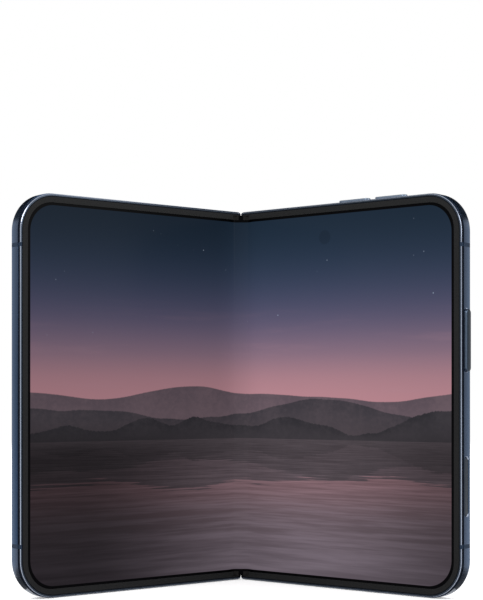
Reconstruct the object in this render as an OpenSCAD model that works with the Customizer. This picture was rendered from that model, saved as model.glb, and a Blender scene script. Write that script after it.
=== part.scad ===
// Book-format folding phone: two rigid halves on a geared double-shaft hinge, with one display
// that bends across the spine. Millimetres, +Z up along the hinge, +Y to the rear, standing on
// its bottom edge and folded half way. A half's pieces are drawn flat, as (distance outward from
// the hinge line, depth behind the front face, height), and then turned into place.

/* [Body] */
// Height of the phone, along the hinge
body_h = 121; // [118:0.2:126]
// Width of one half, from the hinge line to its outer side
half_w = 84; // [82:0.2:88]
// Thickness of one half
body_t = 5.4; // [5:0.1:5.4]
// Radius of the outer corners
corner_r = 11.8; // [9:0.1:13]
// Radius of the rails' rear edge
rear_edge_r = 1; // [0.8:0.1:1.8]
// Width of the bright chamfer round the lip
rim_chamfer = 0.15; // [0.1:0.05:0.35]
// Wall of the metal rails
rail_wall = 2; // [2:0.05:2.2]
// Angle that each half stands folded in from flat
rest_angle = 38.5; // [20:0.5:60]

/* [Display] */
// Width of the front rim outside the bezel, with the step round its lip
rim_w = 0.8; // [0.75:0.05:0.85]
// Width of the bezel, rim to picture
bezel_w = 2; // [2:0.1:2.8]
// Shadow gap between the rim and the raised bezel
bezel_gap = 0.3; // [0.1:0.05:0.35]
// Corner radius of the picture
picture_r = 8.5; // [6:0.5:9]
// Drop from the bezel's face to the display
display_drop = 0.25; // [0.2:0.05:0.3]
// Thickness of the display
display_t = 0.5; // [0.4:0.05:0.5]
// Length of display on each side of the hinge line that bends
bend_len = 6; // [5.6:0.1:6.1]
// Where each bezel starts, out from the hinge line
bezel_start = 4.2; // [4:0.1:5]

/* [Hinge] */
// Distance of each hinge shaft from the hinge line
shaft_offset = 2.15; // [2.12:0.01:2.2]
// Depth of the shafts behind the front face
shaft_depth = 2; // [1.98:0.01:2.02]
// Radius of the hinge shafts
shaft_r = 0.45; // [0.4:0.01:0.47]
// Radial clearance of a turning fit
fit = 0.03; // [0.02:0.01:0.05]
// Number of teeth on each timing gear
gear_teeth = 10; // [10:2:12]
// Tilt of a wing plate for each degree that its half folds
wing_ratio = 0.2; // [0.16:0.01:0.2]
// Wall of the spine cover
cover_wall = 0.45; // [0.4:0.01:0.45]

/* [Keys] */
// Length of the side key
side_key_len = 18.4; // [16:0.2:19]
// Length of the sunk touch key
touch_key_len = 17.3; // [14:0.1:18]
// Length of each volume key
volume_key_len = 11.2; // [9:0.1:11.4]
// Width of the keys
key_w = 2.4; // [1.8:0.1:2.4]
// How far the side key stands proud of its rail
key_proud = 0.9; // [0.5:0.05:0.9]
// How far the volume keys stand proud of the top rail
volume_key_proud = 0.65; // [0.5:0.05:0.7]
// How far a key travels when it is pressed
key_travel = 0.3; // [0.2:0.05:0.3]

/* [Cameras and port] */
// Width of the rear camera island
island_w = 16; // [15:0.5:17]
// Length of the rear camera island
island_len = 38; // [37:0.5:40]
// Height of the island above the rear glass
island_h = 1.3; // [1:0.1:1.6]
// Radius of each rear lens opening
lens_r = 5; // [4:0.1:5.2]
// Radius of the camera behind the inner display
inner_camera_r = 2.45; // [2:0.05:2.6]
// Width of the USB-C mouth
usb_w = 8.34; // [8.34:0.01:8.4]
// Height of the USB-C mouth
usb_t = 2.56; // [2.56:0.01:2.6]

/* [Hidden] */
$fn = 64;

// Finishes
RAIL_BLUE = "#4a5c78";
BEZEL_BLACK = "#232323";
PANEL_DARK = "#2b3446";
GLASS_BLUE = "#33405a";
KEY_BLUE = "#2c3844";
STEEL = "#b9bec6";
SPRING_STEEL = "#8f949c";
BRASS = "#b08a4a";
BOARD_GREEN = "#1f4a34";
BATTERY_GREY = "#55585c";
FOIL_BLACK = "#1a1a1c";
BAND_GREY = "#39465a";
COIL_COPPER = "#b4713d";
LENS_GLASS = "#10141c";
FLASH_WHITE = "#e8e2cc";

// Common clearances and overlaps
GAP = 0.05;      // between pieces that are glued or screwed together
SWING = 0.1;     // between pieces that swing past each other
CUT = 1;         // how far a cutter runs past a face
HAIR = 0.01;     // between pieces that are pressed together

// Levels through a half, as depths behind its front face
display_back = display_drop + display_t;
plate_t = 0.2;
floor_front = display_back + plate_t;
floor_t = 0.5;
floor_back = floor_front + floor_t;
rear_glass_t = 0.65;
rear_glass_front = body_t - rear_glass_t;
ledge_t = 0.35;
ledge_w = 0.8;
ledge_tie = 1;
ledge_front = rear_glass_front - ledge_t - GAP;
ledge_back = rear_glass_front - GAP;
inner_back = ledge_front - GAP;
inner_front = floor_back + GAP;
rail_rise = 0.1;
rail_mid = body_t / 2 + rail_rise;

// Places across a half
display_tuck = 0.65;
display_inset = rim_w + display_tuck;
floor_start = 8;
plate_start = 7.4;
hinge_strip_w = 4;
min_corner_r = 0.5;
cavity_start = 14.3;
lip_step = 0.25;
lip_h = 1.15;
mid_z = body_h / 2;

// Hinge section
hinge_end_r = shaft_offset - GAP;
spine_r = 2;
spine_back = shaft_depth + spine_r;
spine_z0 = rail_wall + SWING;
spine_z1 = body_h - spine_z0;
cap_len = 2;
hub_r = 0.85;
cheek_r = 0.95;
bracket_front = 1.05;
web_w = 2.4;
lip_start = 2.3;
arm_front = 2.5;
arm_t = 0.6;
arm_start = 3.3;
arm_end = 13.5;
arm_slot_gap = 0.15;
arm_notch = arm_front + arm_t + arm_slot_gap;
rib_start = 9.6;
relief_z = display_inset - GAP;
notch_r = 1;
seat_gap = 0.02;
rail_bore_z0 = 0.9;
shaft_z0 = 1;
relief_s = 3;
relief_shallow = 1.3;
relief_deep = 2.1;
bracket_back_t = 0.5;
spine_reach = 2 * spine_back;

// Stations of one hinge end, up from the spine's own end
hub_gap = 0.2;
arm_z0 = cap_len + hub_gap;
hub_len = 4;
gear_z0 = arm_z0 + hub_len;
gear_w = 2;
cheek_z0 = gear_z0 + gear_w + hub_gap;
cheek_len = 2;
spring_z0 = cheek_z0 + cheek_len + GAP;
spring_t = 0.2;
spring_pitch = 0.25;
spring_count = 8;
end_hub_z0 = spring_z0 + spring_count * spring_pitch;
end_hub_len = 2.5;
arm_z1 = end_hub_z0 + end_hub_len;
middle_hub = 4;
middle_cheek = 2.8;
middle_arm_reach = 4;
spring_cup = 0.04;
strip_w = 1.6;
strip_end_gap = 0.2;

// Screws
arm_screw_s = [10.6, 12.6];
arm_screw_r = 0.45;
arm_screw_head_r = 0.85;
arm_screw_head_h = 0.35;
screw_r = 0.4;
screw_head_r = 0.7;
screw_head_h = 0.38;
screw_sink = 0.1;
screw_tip_gap = 0.2;
screw_skin = 0.15;
end_screw_z = 1.3;
middle_screw_z = 1.6;

// Flexible cables across the hinge
flex_depth = 3.24;
flex_t = 0.12;
flex_w = 12;
flex_z = [36, body_h - 36];
flex_bend = 4.4;
flex_end = 15.6;
flex_notch = 3.46;
flex_slot_gap = 0.5;
flex_step = 0.6;
bend_step = 0.4;
plug_end = 17.4;
plug_w = 13;
plug_inset = 0.2;
plug_gap = 0.03;

// Timing gears
gear_pitch_r = shaft_offset / 3;
gear_module = 2 * gear_pitch_r / gear_teeth;
gear_tip_r = gear_pitch_r + 0.6 * gear_module;
gear_root_r = gear_pitch_r - 0.95 * gear_module;
gear_pressure = 25;
gear_base_r = gear_pitch_r * cos(gear_pressure);
gear_tooth_share = 0.43;
axle_r = 0.26;
axle_reach = 1.2;
axle_bore_reach = axle_reach + 0.1;
flank_below = 0.02;
flank_above = 0.04;
half_pitch = 180 / gear_teeth;

// Wing plates
wing_start = 3.3;
wing_pivot_s = 7;
wing_pivot_d = 1.38;
wing_t = 0.3;
wing_pin_r = 0.25;
wing_barrel_r = 0.3;
wing_z = 3.4;
ear_len = 1.2;
ear_front = 0.75;
ear_back = 0.55;
wing_lip_t = 0.25;
wing_pin_gap = 0.2;

// Keys, out from the hinge line or up from the middle
key_land = 0.2;
key_mid = lip_h + key_land + key_w / 2;
key_seat = 1.1;
key_gap = 0.06;
key_pin_r = 0.4;
side_key_z = mid_z + 16.3;
touch_key_z = mid_z - 26.9;
touch_key_sink = 0.1;
key_mouth_depth = 0.25;
key_mouth_end = 0.3;
key_mouth_side = 0.08;
volume_up_s = 57.8;
volume_down_s = 44.4;
key_pin_inset = 2.6;
flex_strip_t = 0.15;
dome_r = 0.85;
dome_h = 0.2;
dome_gap = 0.35;
key_strip_half_w = 0.9;
key_strip_reach = 7;
volume_strip_reach = 4;
key_edge = 0.2;
key_pin_gap = 0.1;

// Pieces inside the halves: from and to are (outward, height) corners
battery_r = 1.5;
left_battery_from = [23, 12];
left_battery_to = [half_w - 6.5, body_h - 30];
right_battery_from = [23, 23];
right_battery_to = [half_w - 7, 78];
right_battery_gap = 0.35;
left_board_from = [cavity_start, 20];
left_board_to = [21.5, body_h - 20];
board_r = 0.5;
left_board_gap = 0.6;
left_board_t = 0.8;
main_board_gap = 1;
main_board_t = 0.7;
main_board_z = 82;
main_board_w = 44;
main_board_top = 3;
leg_z = 20;
leg_w = 7;
leg_lap = 2;
board_camera_gap = 0.6;
shield_from = [24, 86];
shield_to = [56, 103];
shield_wall = 0.3;
shield_roof = 0.2;
shield_r = 0.8;
receiver_from = [54, body_h - 9.5];
receiver_to = [68, body_h - 3.2];
receiver_r = 1;
panel_edge = 1.4;
panel_start = 1.6;
panel_camera_gap = 0.2;
magnet_reach = 4.6;
magnet_gap = 0.2;
magnet_z = [mid_z - 8, mid_z + 3];
coil_at = [50, 50];
coil_outer_r = 21;
coil_inner_r = 11;
coil_t = 0.28;
haptic_from = [24, 8];
haptic_to = [35, 16];
haptic_r = 0.8;
haptic_gap = 0.3;

// Antenna bands, in from the top and bottom
band_z = 16;
band_w = 1.2;
band_seat = 1.2;

// Cameras
island_s = half_w - 13.2;
island_z = body_h - 26;
lens_pitch = 10.6;
island_seat = rear_glass_front;
lens_rim = 0.7;
lens_rim_h = 0.3;
lens_glass_t = 0.5;
barrel_r = lens_r - 0.5;
flash_r = 1.5;
inner_camera_s = 34.5;
inner_camera_z = body_h - 10.6;
cover_camera_s = 43;
cover_camera_z = body_h - 8.6;
cover_camera_r = 1.9;
cover_camera_front = 0.8;
cover_module_half = 2.6;
cover_module_t = 1.6;
cover_module_r = 0.4;
camera_gap = 0.3;
camera_flange = 0.4;
camera_flange_front = 0.3;
camera_back = 1;
module_half = 5.5;
wide_module_half = 5;
module_r = 0.6;
barrel_drop = 0.4;
lens_drop = 0.1;

// USB-C port and sound
usb_s = 42;
usb_wall = 0.3;
usb_len = 7;
usb_z0 = 0.35;
tongue_w = 6.7;
tongue_t = 0.7;
tongue_z = 0.8;
tongue_root = 0.2;
speaker_s = 54;
speaker_w = 14;
speaker_z = [2.6, 17];
speaker_r = 1;
grille_start = 1.5;
grille_holes = 6;
grille_pitch = 2.2;
grille_r = 0.5;

// Rear-most and front-most reach of the standing phone, which centre it on the origin
reach_front = shaft_depth - (half_w - shaft_offset) * sin(rest_angle)
    - shaft_depth * cos(rest_angle);
reach_rear = shaft_depth + hinge_end_r * sin(rest_angle)
    + (body_t - shaft_depth) * cos(rest_angle);
centre_y = -(reach_front + reach_rear) / 2;

// ---------------------------------------------------------------- placing

// Puts a flat-drawn piece of the right half at its standing angle
module on_right() {
    translate([shaft_offset, shaft_depth + centre_y, 0]) rotate([0, 0, -rest_angle])
        translate([-shaft_offset, -shaft_depth, 0]) children();
}

// Puts a flat-drawn piece of the left half at its standing angle
module on_left() {
    mirror([1, 0, 0]) on_right() children();
}

// Puts a piece of the spine in place
module on_spine() {
    translate([0, centre_y, 0]) children();
}

// Repeats a piece of the bottom hinge end at the top end too
module both_ends() {
    children();
    translate([0, 0, body_h]) mirror([0, 0, 1]) children();
}

// Gives a shape drawn in (outward, height) a body from one depth to another
module slab(d0, d1) {
    translate([0, d1, 0]) rotate([90, 0, 0]) linear_extrude(d1 - d0) children();
}

// Gives a shape drawn in (outward, depth) a body from one height to another
module column(z0, z1) {
    translate([0, 0, z0]) linear_extrude(z1 - z0) children();
}

// A box from one corner to the opposite one
module block(from, to) {
    translate(from) cube(to - from);
}

// ---------------------------------------------------------------- outlines

// Half's outline in (outward, height), pulled in from its outer edges
module half_outline(start, inset, r = corner_r) {
    radius = max(r - inset, min_corner_r);
    translate([start, inset]) square([half_w - inset - radius - start, body_h - 2 * inset]);
    translate([half_w - inset - radius, inset + radius])
        square([radius, body_h - 2 * (inset + radius)]);
    for (z = [inset + radius, body_h - inset - radius])
        translate([half_w - inset - radius, z]) circle(radius);
}

// Bar with round ends, lengthways along x
module round_bar(len, w) {
    square([len - w, w], center = true);
    for (side = [-1, 1]) translate([side * (len - w) / 2, 0]) circle(w / 2);
}

// Rail's section: x = 0 is its outer face, y is depth
module rail_section() {
    difference() {
        translate([-rail_wall, 0]) square([rail_wall, body_t]);
        translate([-rail_wall - CUT, -CUT]) square([rail_wall - rim_w + CUT, floor_front + CUT]);
        translate([-lip_step, 0])
            polygon([[-rim_chamfer - CUT, -CUT], [CUT, rim_chamfer + CUT], [CUT, -CUT]]);
        translate([-lip_step, -CUT]) square([lip_step + CUT, lip_h + CUT]);
        difference() {
            translate([-rear_edge_r, body_t - rear_edge_r]) square(rear_edge_r + CUT);
            translate([-rear_edge_r, body_t - rear_edge_r]) circle(rear_edge_r);
        }
    }
}

// Section of the swinging hinge end that is cut away: in front of the shaft it is an arc
module hinge_end_cut() {
    difference() {
        translate([-CUT, -CUT]) square([shaft_offset + CUT, shaft_depth + CUT]);
        translate([shaft_offset, shaft_depth]) circle(hinge_end_r);
    }
    translate([-CUT, shaft_depth - CUT]) square([shaft_offset - hinge_end_r + CUT, body_t + 2 * CUT]);
}

// ---------------------------------------------------------------- frames

// Three rails round a half: bottom, outer side and top, with turned corners
module rails() {
    len = half_w - corner_r;
    translate([half_w, 0, corner_r]) linear_extrude(body_h - 2 * corner_r) rail_section();
    translate([len, 0, body_h]) rotate([0, -90, 0]) linear_extrude(len) rail_section();
    rotate([0, 90, 0]) linear_extrude(len) rail_section();
    translate([len, 0, corner_r]) rotate([-90, 0, 0])
        rotate_extrude(angle = 90) translate([corner_r, 0]) rail_section();
    translate([len, 0, body_h - corner_r]) rotate([-90, 0, 0])
        rotate([0, 0, -90]) rotate_extrude(angle = 90) translate([corner_r, 0]) rail_section();
}

// Section of a rail's rounded tip: x is the reach from the shaft, y is height
module tip_section() {
    square([hinge_end_r - notch_r, notch_r]);
    translate([hinge_end_r - notch_r, notch_r]) circle(notch_r);
}

// Rounds the tip of a rail where the two halves meet at the hinge
module notch_cut() {
    difference() {
        block([-CUT, -CUT, -CUT], [shaft_offset, shaft_depth, notch_r]);
        translate([shaft_offset, shaft_depth, 0]) rotate_extrude() tip_section();
    }
    difference() {
        block([-CUT, shaft_depth, -CUT], [shaft_offset, body_t + CUT, notch_r]);
        slab(shaft_depth - CUT, body_t + 2 * CUT) translate([shaft_offset, 0]) mirror([1, 0]) tip_section();
    }
}

// Rails, floor, rear ledge and hinge edge shared by both halves
module frame_body() {
    difference() {
        union() {
            rails();
            slab(floor_front, floor_back) half_outline(floor_start, rail_wall - GAP);
            slab(ledge_front, ledge_back) difference() {
                half_outline(hinge_strip_w - ledge_tie, rail_wall - GAP);
                half_outline(hinge_strip_w + ledge_w, rail_wall + ledge_w);
            }
            block([shaft_offset - hinge_end_r, shaft_depth + spine_r + SWING, rail_wall - GAP],
                [hinge_strip_w, body_t, body_h - rail_wall + GAP]);
            for (zone = arm_zones())
                block([rib_start, floor_back - GAP, zone[0]], [arm_end, arm_front - GAP, zone[1]]);
            both_ends() block([wing_pivot_s - ear_front, floor_front, rail_wall - GAP],
                [floor_start + GAP, wing_pivot_d + ear_back, rail_wall + ear_len]);
        }
        column(-CUT, body_h + CUT) hinge_end_cut();
        both_ends() {
            notch_cut();
            display_relief();
            translate([shaft_offset, shaft_depth, rail_bore_z0]) cylinder(r = shaft_r + fit, h = rail_wall);
            translate([wing_pivot_s, wing_pivot_d, rail_wall - GAP])
                cylinder(r = wing_pin_r + fit, h = ear_len + CUT);
        }
        for (zone = arm_zones(), s = arm_screw_s)
            translate([s, floor_back - GAP, (zone[0] + zone[1]) / 2]) rotate([-90, 0, 0])
                cylinder(r = arm_screw_r + GAP, h = arm_front);
        for (z = [band_z, body_h - band_z])
            block([half_w - band_seat, -CUT, z - band_w / 2], [half_w + CUT, body_t + CUT, z + band_w / 2]);
    }
}

// Room inside a rail's end for the display to curl into as the half folds
module display_relief() {
    block([-CUT, display_drop, relief_z], [relief_s, relief_shallow, rail_wall + CUT]);
    block([relief_s - GAP, display_drop, relief_z], [bend_len + GAP, relief_deep, rail_wall + CUT]);
}

// Heights that the hinge arms take up: bottom, middle and top
function arm_zones() = [
    [spine_z0 + arm_z0, spine_z0 + arm_z1],
    [mid_z - middle_hub / 2 - middle_arm_reach, mid_z + middle_hub / 2 + middle_arm_reach],
    [spine_z1 - arm_z1, spine_z1 - arm_z0]];

module left_frame() {
    color(RAIL_BLUE) on_left() frame_body();
}

module right_frame() {
    color(RAIL_BLUE) on_right() difference() {
        frame_body();
        side_pocket(side_key_z, side_key_len);
        side_pocket(touch_key_z, touch_key_len);
        top_pocket(volume_up_s);
        top_pocket(volume_down_s);
        usb_cut();
        grille_cut();
        bore_through(inner_camera_s, inner_camera_z, inner_camera_r + camera_gap, 0, floor_back + GAP);
    }
}

// Straight bore along the depth of a half
module bore_through(s, z, r, d0, d1) {
    translate([s, d0, z]) rotate([-90, 0, 0]) cylinder(r = r, h = d1 - d0);
}

// Mouth of a key's seat, face up: it opens out a little at the sides and more at the ends
module key_mouth(len) {
    hull() {
        translate([0, 0, -key_mouth_depth]) linear_extrude(CUT)
            round_bar(len + 2 * key_gap, key_w + 2 * key_gap);
        linear_extrude(CUT)
            round_bar(len + 2 * (key_gap + key_mouth_end), key_w + 2 * (key_gap + key_mouth_side));
    }
}

// Seat for a key in the outer rail, with a hole for each guide pin
module side_pocket(z, len) {
    translate([half_w - key_seat - key_travel - GAP, key_mid, z]) rotate([0, 90, 0])
        linear_extrude(key_seat + CUT + key_travel + GAP) round_bar(len + 2 * key_gap, key_w + 2 * key_gap);
    translate([half_w, key_mid, z]) rotate([0, 90, 0]) key_mouth(len);
    for (side = [-1, 1])
        translate([half_w - rail_wall - CUT, key_mid, z + side * (len / 2 - key_pin_inset)])
            rotate([0, 90, 0]) cylinder(r = key_pin_r + fit, h = rail_wall + CUT);
}

// Seat for a volume key in the top rail
module top_pocket(s) {
    translate([s, key_mid, body_h - key_seat - key_travel - GAP])
        linear_extrude(key_seat + CUT + key_travel + GAP)
        round_bar(volume_key_len + 2 * key_gap, key_w + 2 * key_gap);
    translate([s, key_mid, body_h]) key_mouth(volume_key_len);
    for (side = [-1, 1]) translate([s + side * (volume_key_len / 2 - key_pin_inset), key_mid,
        body_h - rail_wall - CUT]) cylinder(r = key_pin_r + fit, h = rail_wall + CUT);
}

// Room for the USB-C port through the bottom rail, floor and ledge
module usb_cut() {
    outer_w = usb_w + 2 * (usb_wall + GAP);
    outer_t = usb_t + 2 * (usb_wall + GAP);
    translate([usb_s, rail_mid, -CUT]) linear_extrude(usb_z0 + usb_len + CUT) round_bar(outer_w, outer_t);
}

// Row of sound holes through the bottom rail
module grille_cut() {
    for (i = [0 : grille_holes - 1])
        translate([speaker_s + grille_start + i * grille_pitch, rail_mid, -CUT])
            cylinder(r = grille_r, h = rail_wall + 2 * CUT);
}

// Plastic bands that part the outer rail into aerials
module antenna_bands() {
    for (z = [band_z, body_h - band_z]) translate([half_w, 0, z - band_w / 2 + HAIR])
        linear_extrude(band_w - 2 * HAIR) intersection() {
            rail_section();
            translate([HAIR - band_seat, -CUT]) square([band_seat + CUT, body_t + 2 * CUT]);
        }
}

module left_antenna_bands() { color(BAND_GREY) on_left() antenna_bands(); }

module right_antenna_bands() { color(BAND_GREY) on_right() antenna_bands(); }

// ---------------------------------------------------------------- bezels and display

// Raised ring over the display's edge, with a horn that runs on towards the hinge
module bezel() {
    difference() {
        slab(0, display_drop) difference() {
            half_outline(bezel_start, rim_w + bezel_gap);
            half_outline(bezel_start - CUT, rim_w + bezel_w, picture_r + rim_w + bezel_w);
        }
        column(-CUT, body_h + CUT) hinge_end_cut();
    }
    slab(display_drop, floor_front - seat_gap) difference() {
        half_outline(bezel_start, rim_w + seat_gap);
        half_outline(bezel_start - CUT, relief_z);
    }
    both_ends() difference() {
        block([0, seat_gap, rim_w + seat_gap], [bezel_start, floor_front - seat_gap, relief_z]);
        block([-CUT, -CUT, 0], [bezel_start + CUT, display_drop, rim_w + bezel_gap]);
        column(-CUT, body_h + CUT) hinge_end_cut();
    }
}

module left_bezel() { color(BEZEL_BLACK) on_left() bezel(); }

module right_bezel() { color(BEZEL_BLACK) on_right() bezel(); }

// Flat stretch of the display on one half
module display_sheet() {
    slab(display_drop, display_back) half_outline(bend_len, display_inset);
}

module left_display() { color(PANEL_DARK) on_left() display_sheet(); }

module right_display() { color(PANEL_DARK) on_right() display_sheet(); }

function smooth_step(t) = let (c = min(max(t, 0), 1)) c * c * (3 - 2 * c);

// Point of the right half drawn flat at (u, d), turned by a share of the standing angle
function turned(u, d, share) =
    let (angle = rest_angle * share, x = u - shaft_offset, y = d - shaft_depth)
    [shaft_offset + x * cos(angle) + y * sin(angle), shaft_depth - x * sin(angle) + y * cos(angle)];

// Share of the standing angle that a point of a bending sheet takes, found by repeated halving
function bend_share(u, d, len, mid, share = 0.5, n = 40) =
    let (from = turned(len, mid, 1), line = [0, mid] - from,
        t = (turned(u, d, share) - from) * line / (line * line))
    n == 0 ? share : bend_share(u, d, len, mid, (share + 1 - smooth_step(t)) / 2, n - 1);

// Where a point of a sheet drawn flat at (u, d) lies once the sheet has bent
function bent(u, d, len, mid) =
    let (p = turned(abs(u), d, bend_share(abs(u), d, len, mid))) [sign(u) * p[0], p[1]];

// Section of a sheet that bends over the hinge line, reaching out as far as end on each side
module bent_sheet(end, len, d0, d1, step) {
    mid = (d0 + d1) / 2;
    count = round(end / step);
    us = [for (i = [-count : count]) if (i != 0) i * end / count];
    last = len(us) - 1;
    polygon(concat([for (u = us) bent(u, d0, len, mid)],
        [for (i = [last : -1 : 0]) bent(us[i], d1, len, mid)]));
}

// Bending middle of the display, between the two flat stretches
module display_bend() {
    color(PANEL_DARK) on_spine() column(display_inset, body_h - display_inset)
        bent_sheet(bend_len - seat_gap, bend_len, display_drop, display_back, bend_step);
}

// Thin plate glued behind a flat stretch of the display
module display_plate() {
    slab(display_back + HAIR, floor_front - HAIR) half_outline(plate_start, display_inset);
}

module left_display_plate() { color(STEEL) on_left() display_plate(); }

module right_display_plate() {
    color(STEEL) on_right() difference() {
        display_plate();
        bore_through(inner_camera_s, inner_camera_z, inner_camera_r + camera_gap, 0, floor_front + CUT);
    }
}

// ---------------------------------------------------------------- spine

// Solid section of the spine, r round each shaft and flat behind
module spine_section(r) {
    for (side = [-1, 1]) translate([side * shaft_offset, shaft_depth]) circle(r);
    translate([-shaft_offset, shaft_depth]) square([2 * shaft_offset, r]);
}

// Section that carries both shafts and stays clear of the folding halves
module cheek_section() {
    for (side = [-1, 1]) translate([side * shaft_offset, shaft_depth]) circle(cheek_r);
    translate([-shaft_offset, bracket_front])
        square([2 * shaft_offset, spine_back - cover_wall - GAP - bracket_front]);
}

// Bores for both shafts
module shaft_bores(z0, z1) {
    for (side = [-1, 1]) translate([side * shaft_offset, shaft_depth, z0])
        cylinder(r = shaft_r + HAIR, h = z1 - z0);
}

module spine_cover() {
    color(RAIL_BLUE) on_spine() difference() {
        column(spine_z0, spine_z1) difference() {
            spine_section(spine_r);
            spine_section(spine_r - cover_wall);
            translate([-spine_reach, -CUT]) square([2 * spine_reach, lip_start + CUT]);
        }
        for (zone = arm_zones())
            block([-spine_reach, 0, zone[0] - arm_slot_gap],
                [spine_reach, arm_notch, zone[1] + arm_slot_gap]);
        for (z = flex_z)
            block([-spine_reach, 0, z - flex_w / 2 - flex_slot_gap],
                [spine_reach, flex_notch, z + flex_w / 2 + flex_slot_gap]);
        for (z = bracket_screw_heights())
            bore_through(0, z, screw_r + seat_gap, 0, spine_back - screw_skin);
    }
}

// Plug that closes one end of the spine and holds the shafts
module spine_cap() {
    difference() {
        column(spine_z0, spine_z0 + cap_len) {
            cheek_section();
            difference() {
                spine_section(spine_r - cover_wall - GAP);
                translate([-spine_back, 0]) square([2 * spine_back, lip_start]);
            }
        }
        shaft_bores(0, spine_z0 + cap_len + CUT);
    }
}

module spine_cap_bottom() { color(RAIL_BLUE) on_spine() spine_cap(); }

module spine_cap_top() {
    color(RAIL_BLUE) on_spine() translate([0, 0, body_h]) mirror([0, 0, 1]) spine_cap();
}

// Bearing block at one end of the hinge: a web between the arms and a cheek past the gears
module end_bracket() {
    web_x = web_w / 2;
    back = spine_back - cover_wall - GAP;
    difference() {
        translate([0, 0, spine_z0]) {
            block([-web_x, bracket_front, arm_z0], [web_x, back, gear_z0 - GAP]);
            block([-web_x, back - bracket_back_t, arm_z0], [web_x, back, cheek_z0 + cheek_len]);
            column(cheek_z0, cheek_z0 + cheek_len) cheek_section();
        }
        shaft_bores(spine_z0 + cheek_z0 - CUT / 2, spine_z0 + cheek_z0 + cheek_len + CUT);
        for (side = [-1, 1])
            translate([side * gear_pitch_r, shaft_depth, spine_z0 + gear_z0 - axle_bore_reach])
                cylinder(r = axle_r + HAIR, h = gear_w + 2 * axle_bore_reach);
        screw_seat(spine_z0 + arm_z0 + end_screw_z);
    }
}

// Counterbored hole for a hinge screw
module screw_seat(z) {
    bore_through(0, z, screw_r + seat_gap, 0, spine_back);
    bore_through(0, z, screw_head_r + seat_gap, 0, bracket_front + screw_sink + screw_head_h + seat_gap);
}

function bracket_screw_heights() = [spine_z0 + arm_z0 + end_screw_z,
    mid_z - middle_hub / 2 - middle_screw_z, mid_z + middle_hub / 2 + middle_screw_z,
    spine_z1 - arm_z0 - end_screw_z];

module hinge_bracket_bottom() { color(SPRING_STEEL) on_spine() end_bracket(); }

module hinge_bracket_top() {
    color(SPRING_STEEL) on_spine() translate([0, 0, body_h]) mirror([0, 0, 1]) end_bracket();
}

module hinge_bracket_middle() {
    back = spine_back - cover_wall - GAP;
    cheek = middle_hub / 2 + hub_gap;
    color(SPRING_STEEL) on_spine() difference() {
        union() {
            for (z = [mid_z - cheek - middle_cheek, mid_z + cheek])
                column(z, z + middle_cheek) cheek_section();
            block([-web_w / 2, back - bracket_back_t, mid_z - cheek], [web_w / 2, back, mid_z + cheek]);
        }
        shaft_bores(mid_z - cheek - middle_cheek - CUT, mid_z + cheek + middle_cheek + CUT);
        for (side = [-1, 1]) screw_seat(mid_z + side * (middle_hub / 2 + middle_screw_z));
    }
}

// The two shafts, from bores in the bottom rails to bores in the top rails
module hinge_shafts() {
    color(STEEL) on_spine() for (side = [-1, 1])
        translate([side * shaft_offset, shaft_depth, shaft_z0])
        cylinder(r = shaft_r, h = body_h - 2 * shaft_z0);
}

// Fixed axles that the idler gears turn on
module idler_axles() {
    color(STEEL) on_spine() both_ends() for (side = [-1, 1])
        translate([side * gear_pitch_r, shaft_depth, spine_z0 + gear_z0 - axle_reach])
            cylinder(r = axle_r, h = gear_w + 2 * axle_reach);
}

// One cupped spring washer
module spring_washer() {
    inner_r = shaft_r + seat_gap;
    outer_r = hub_r - GAP;
    wall = spring_t - GAP;
    rotate_extrude()
        polygon([[inner_r, 0], [outer_r, spring_cup], [outer_r, spring_cup + wall], [inner_r, wall]]);
}

// Stacks of spring washers that give the hinge its drag
module disc_springs() {
    color(BRASS) on_spine() both_ends() for (side = [-1, 1], i = [0 : spring_count - 1])
        translate([side * shaft_offset, shaft_depth, spine_z0 + spring_z0 + i * spring_pitch])
            spring_washer();
}

module hinge_screws() {
    front = bracket_front + screw_sink;
    color(STEEL) on_spine() for (z = bracket_screw_heights()) {
        bore_through(0, z, screw_head_r, front, front + screw_head_h);
        bore_through(0, z, screw_r, front + screw_head_h, spine_back - screw_tip_gap);
    }
}

module fold_support_strip() {
    color(SPRING_STEEL) on_spine()
        block([-strip_w / 2, display_back + GAP, spine_z0 + strip_end_gap],
            [strip_w / 2, bracket_front - GAP, spine_z1 - strip_end_gap]);
}

// Ribbons that join the two halves' boards, curving round the shafts inside the spine
module hinge_flex_cables() {
    color(BRASS) on_spine() for (z = flex_z) column(z - flex_w / 2, z + flex_w / 2)
        bent_sheet(flex_end, flex_bend, flex_depth, flex_depth + flex_t, flex_step);
}

// ---------------------------------------------------------------- timing gears

function involute(r, t) = [r * (cos(t) + t * PI / 180 * sin(t)), r * (sin(t) - t * PI / 180 * cos(t))];
function roll_angle(r) = r <= gear_base_r ? 0 : sqrt(pow(r / gear_base_r, 2) - 1) * 180 / PI;
function flank_angle(r) =
    let (p = involute(gear_base_r, roll_angle(r))) atan2(p[1], p[0]);
function spot(r, angle) = [r * cos(angle), r * sin(angle)];

// Points of one tooth centred on an angle: up one flank and down the other
function tooth(angle) =
    let (half = half_pitch * gear_tooth_share + flank_angle(gear_pitch_r),
        rs = [gear_root_r, gear_base_r, gear_pitch_r - flank_below, gear_pitch_r,
            gear_pitch_r + flank_above, gear_tip_r])
    concat([for (r = rs) spot(r, angle - half + flank_angle(r))],
        [for (i = [len(rs) - 1 : -1 : 0]) spot(rs[i], angle + half - flank_angle(rs[i]))]);

module gear_outline(phase) {
    polygon([for (i = [0 : gear_teeth - 1]) each tooth(phase + i * 360 / gear_teeth)]);
}

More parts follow.
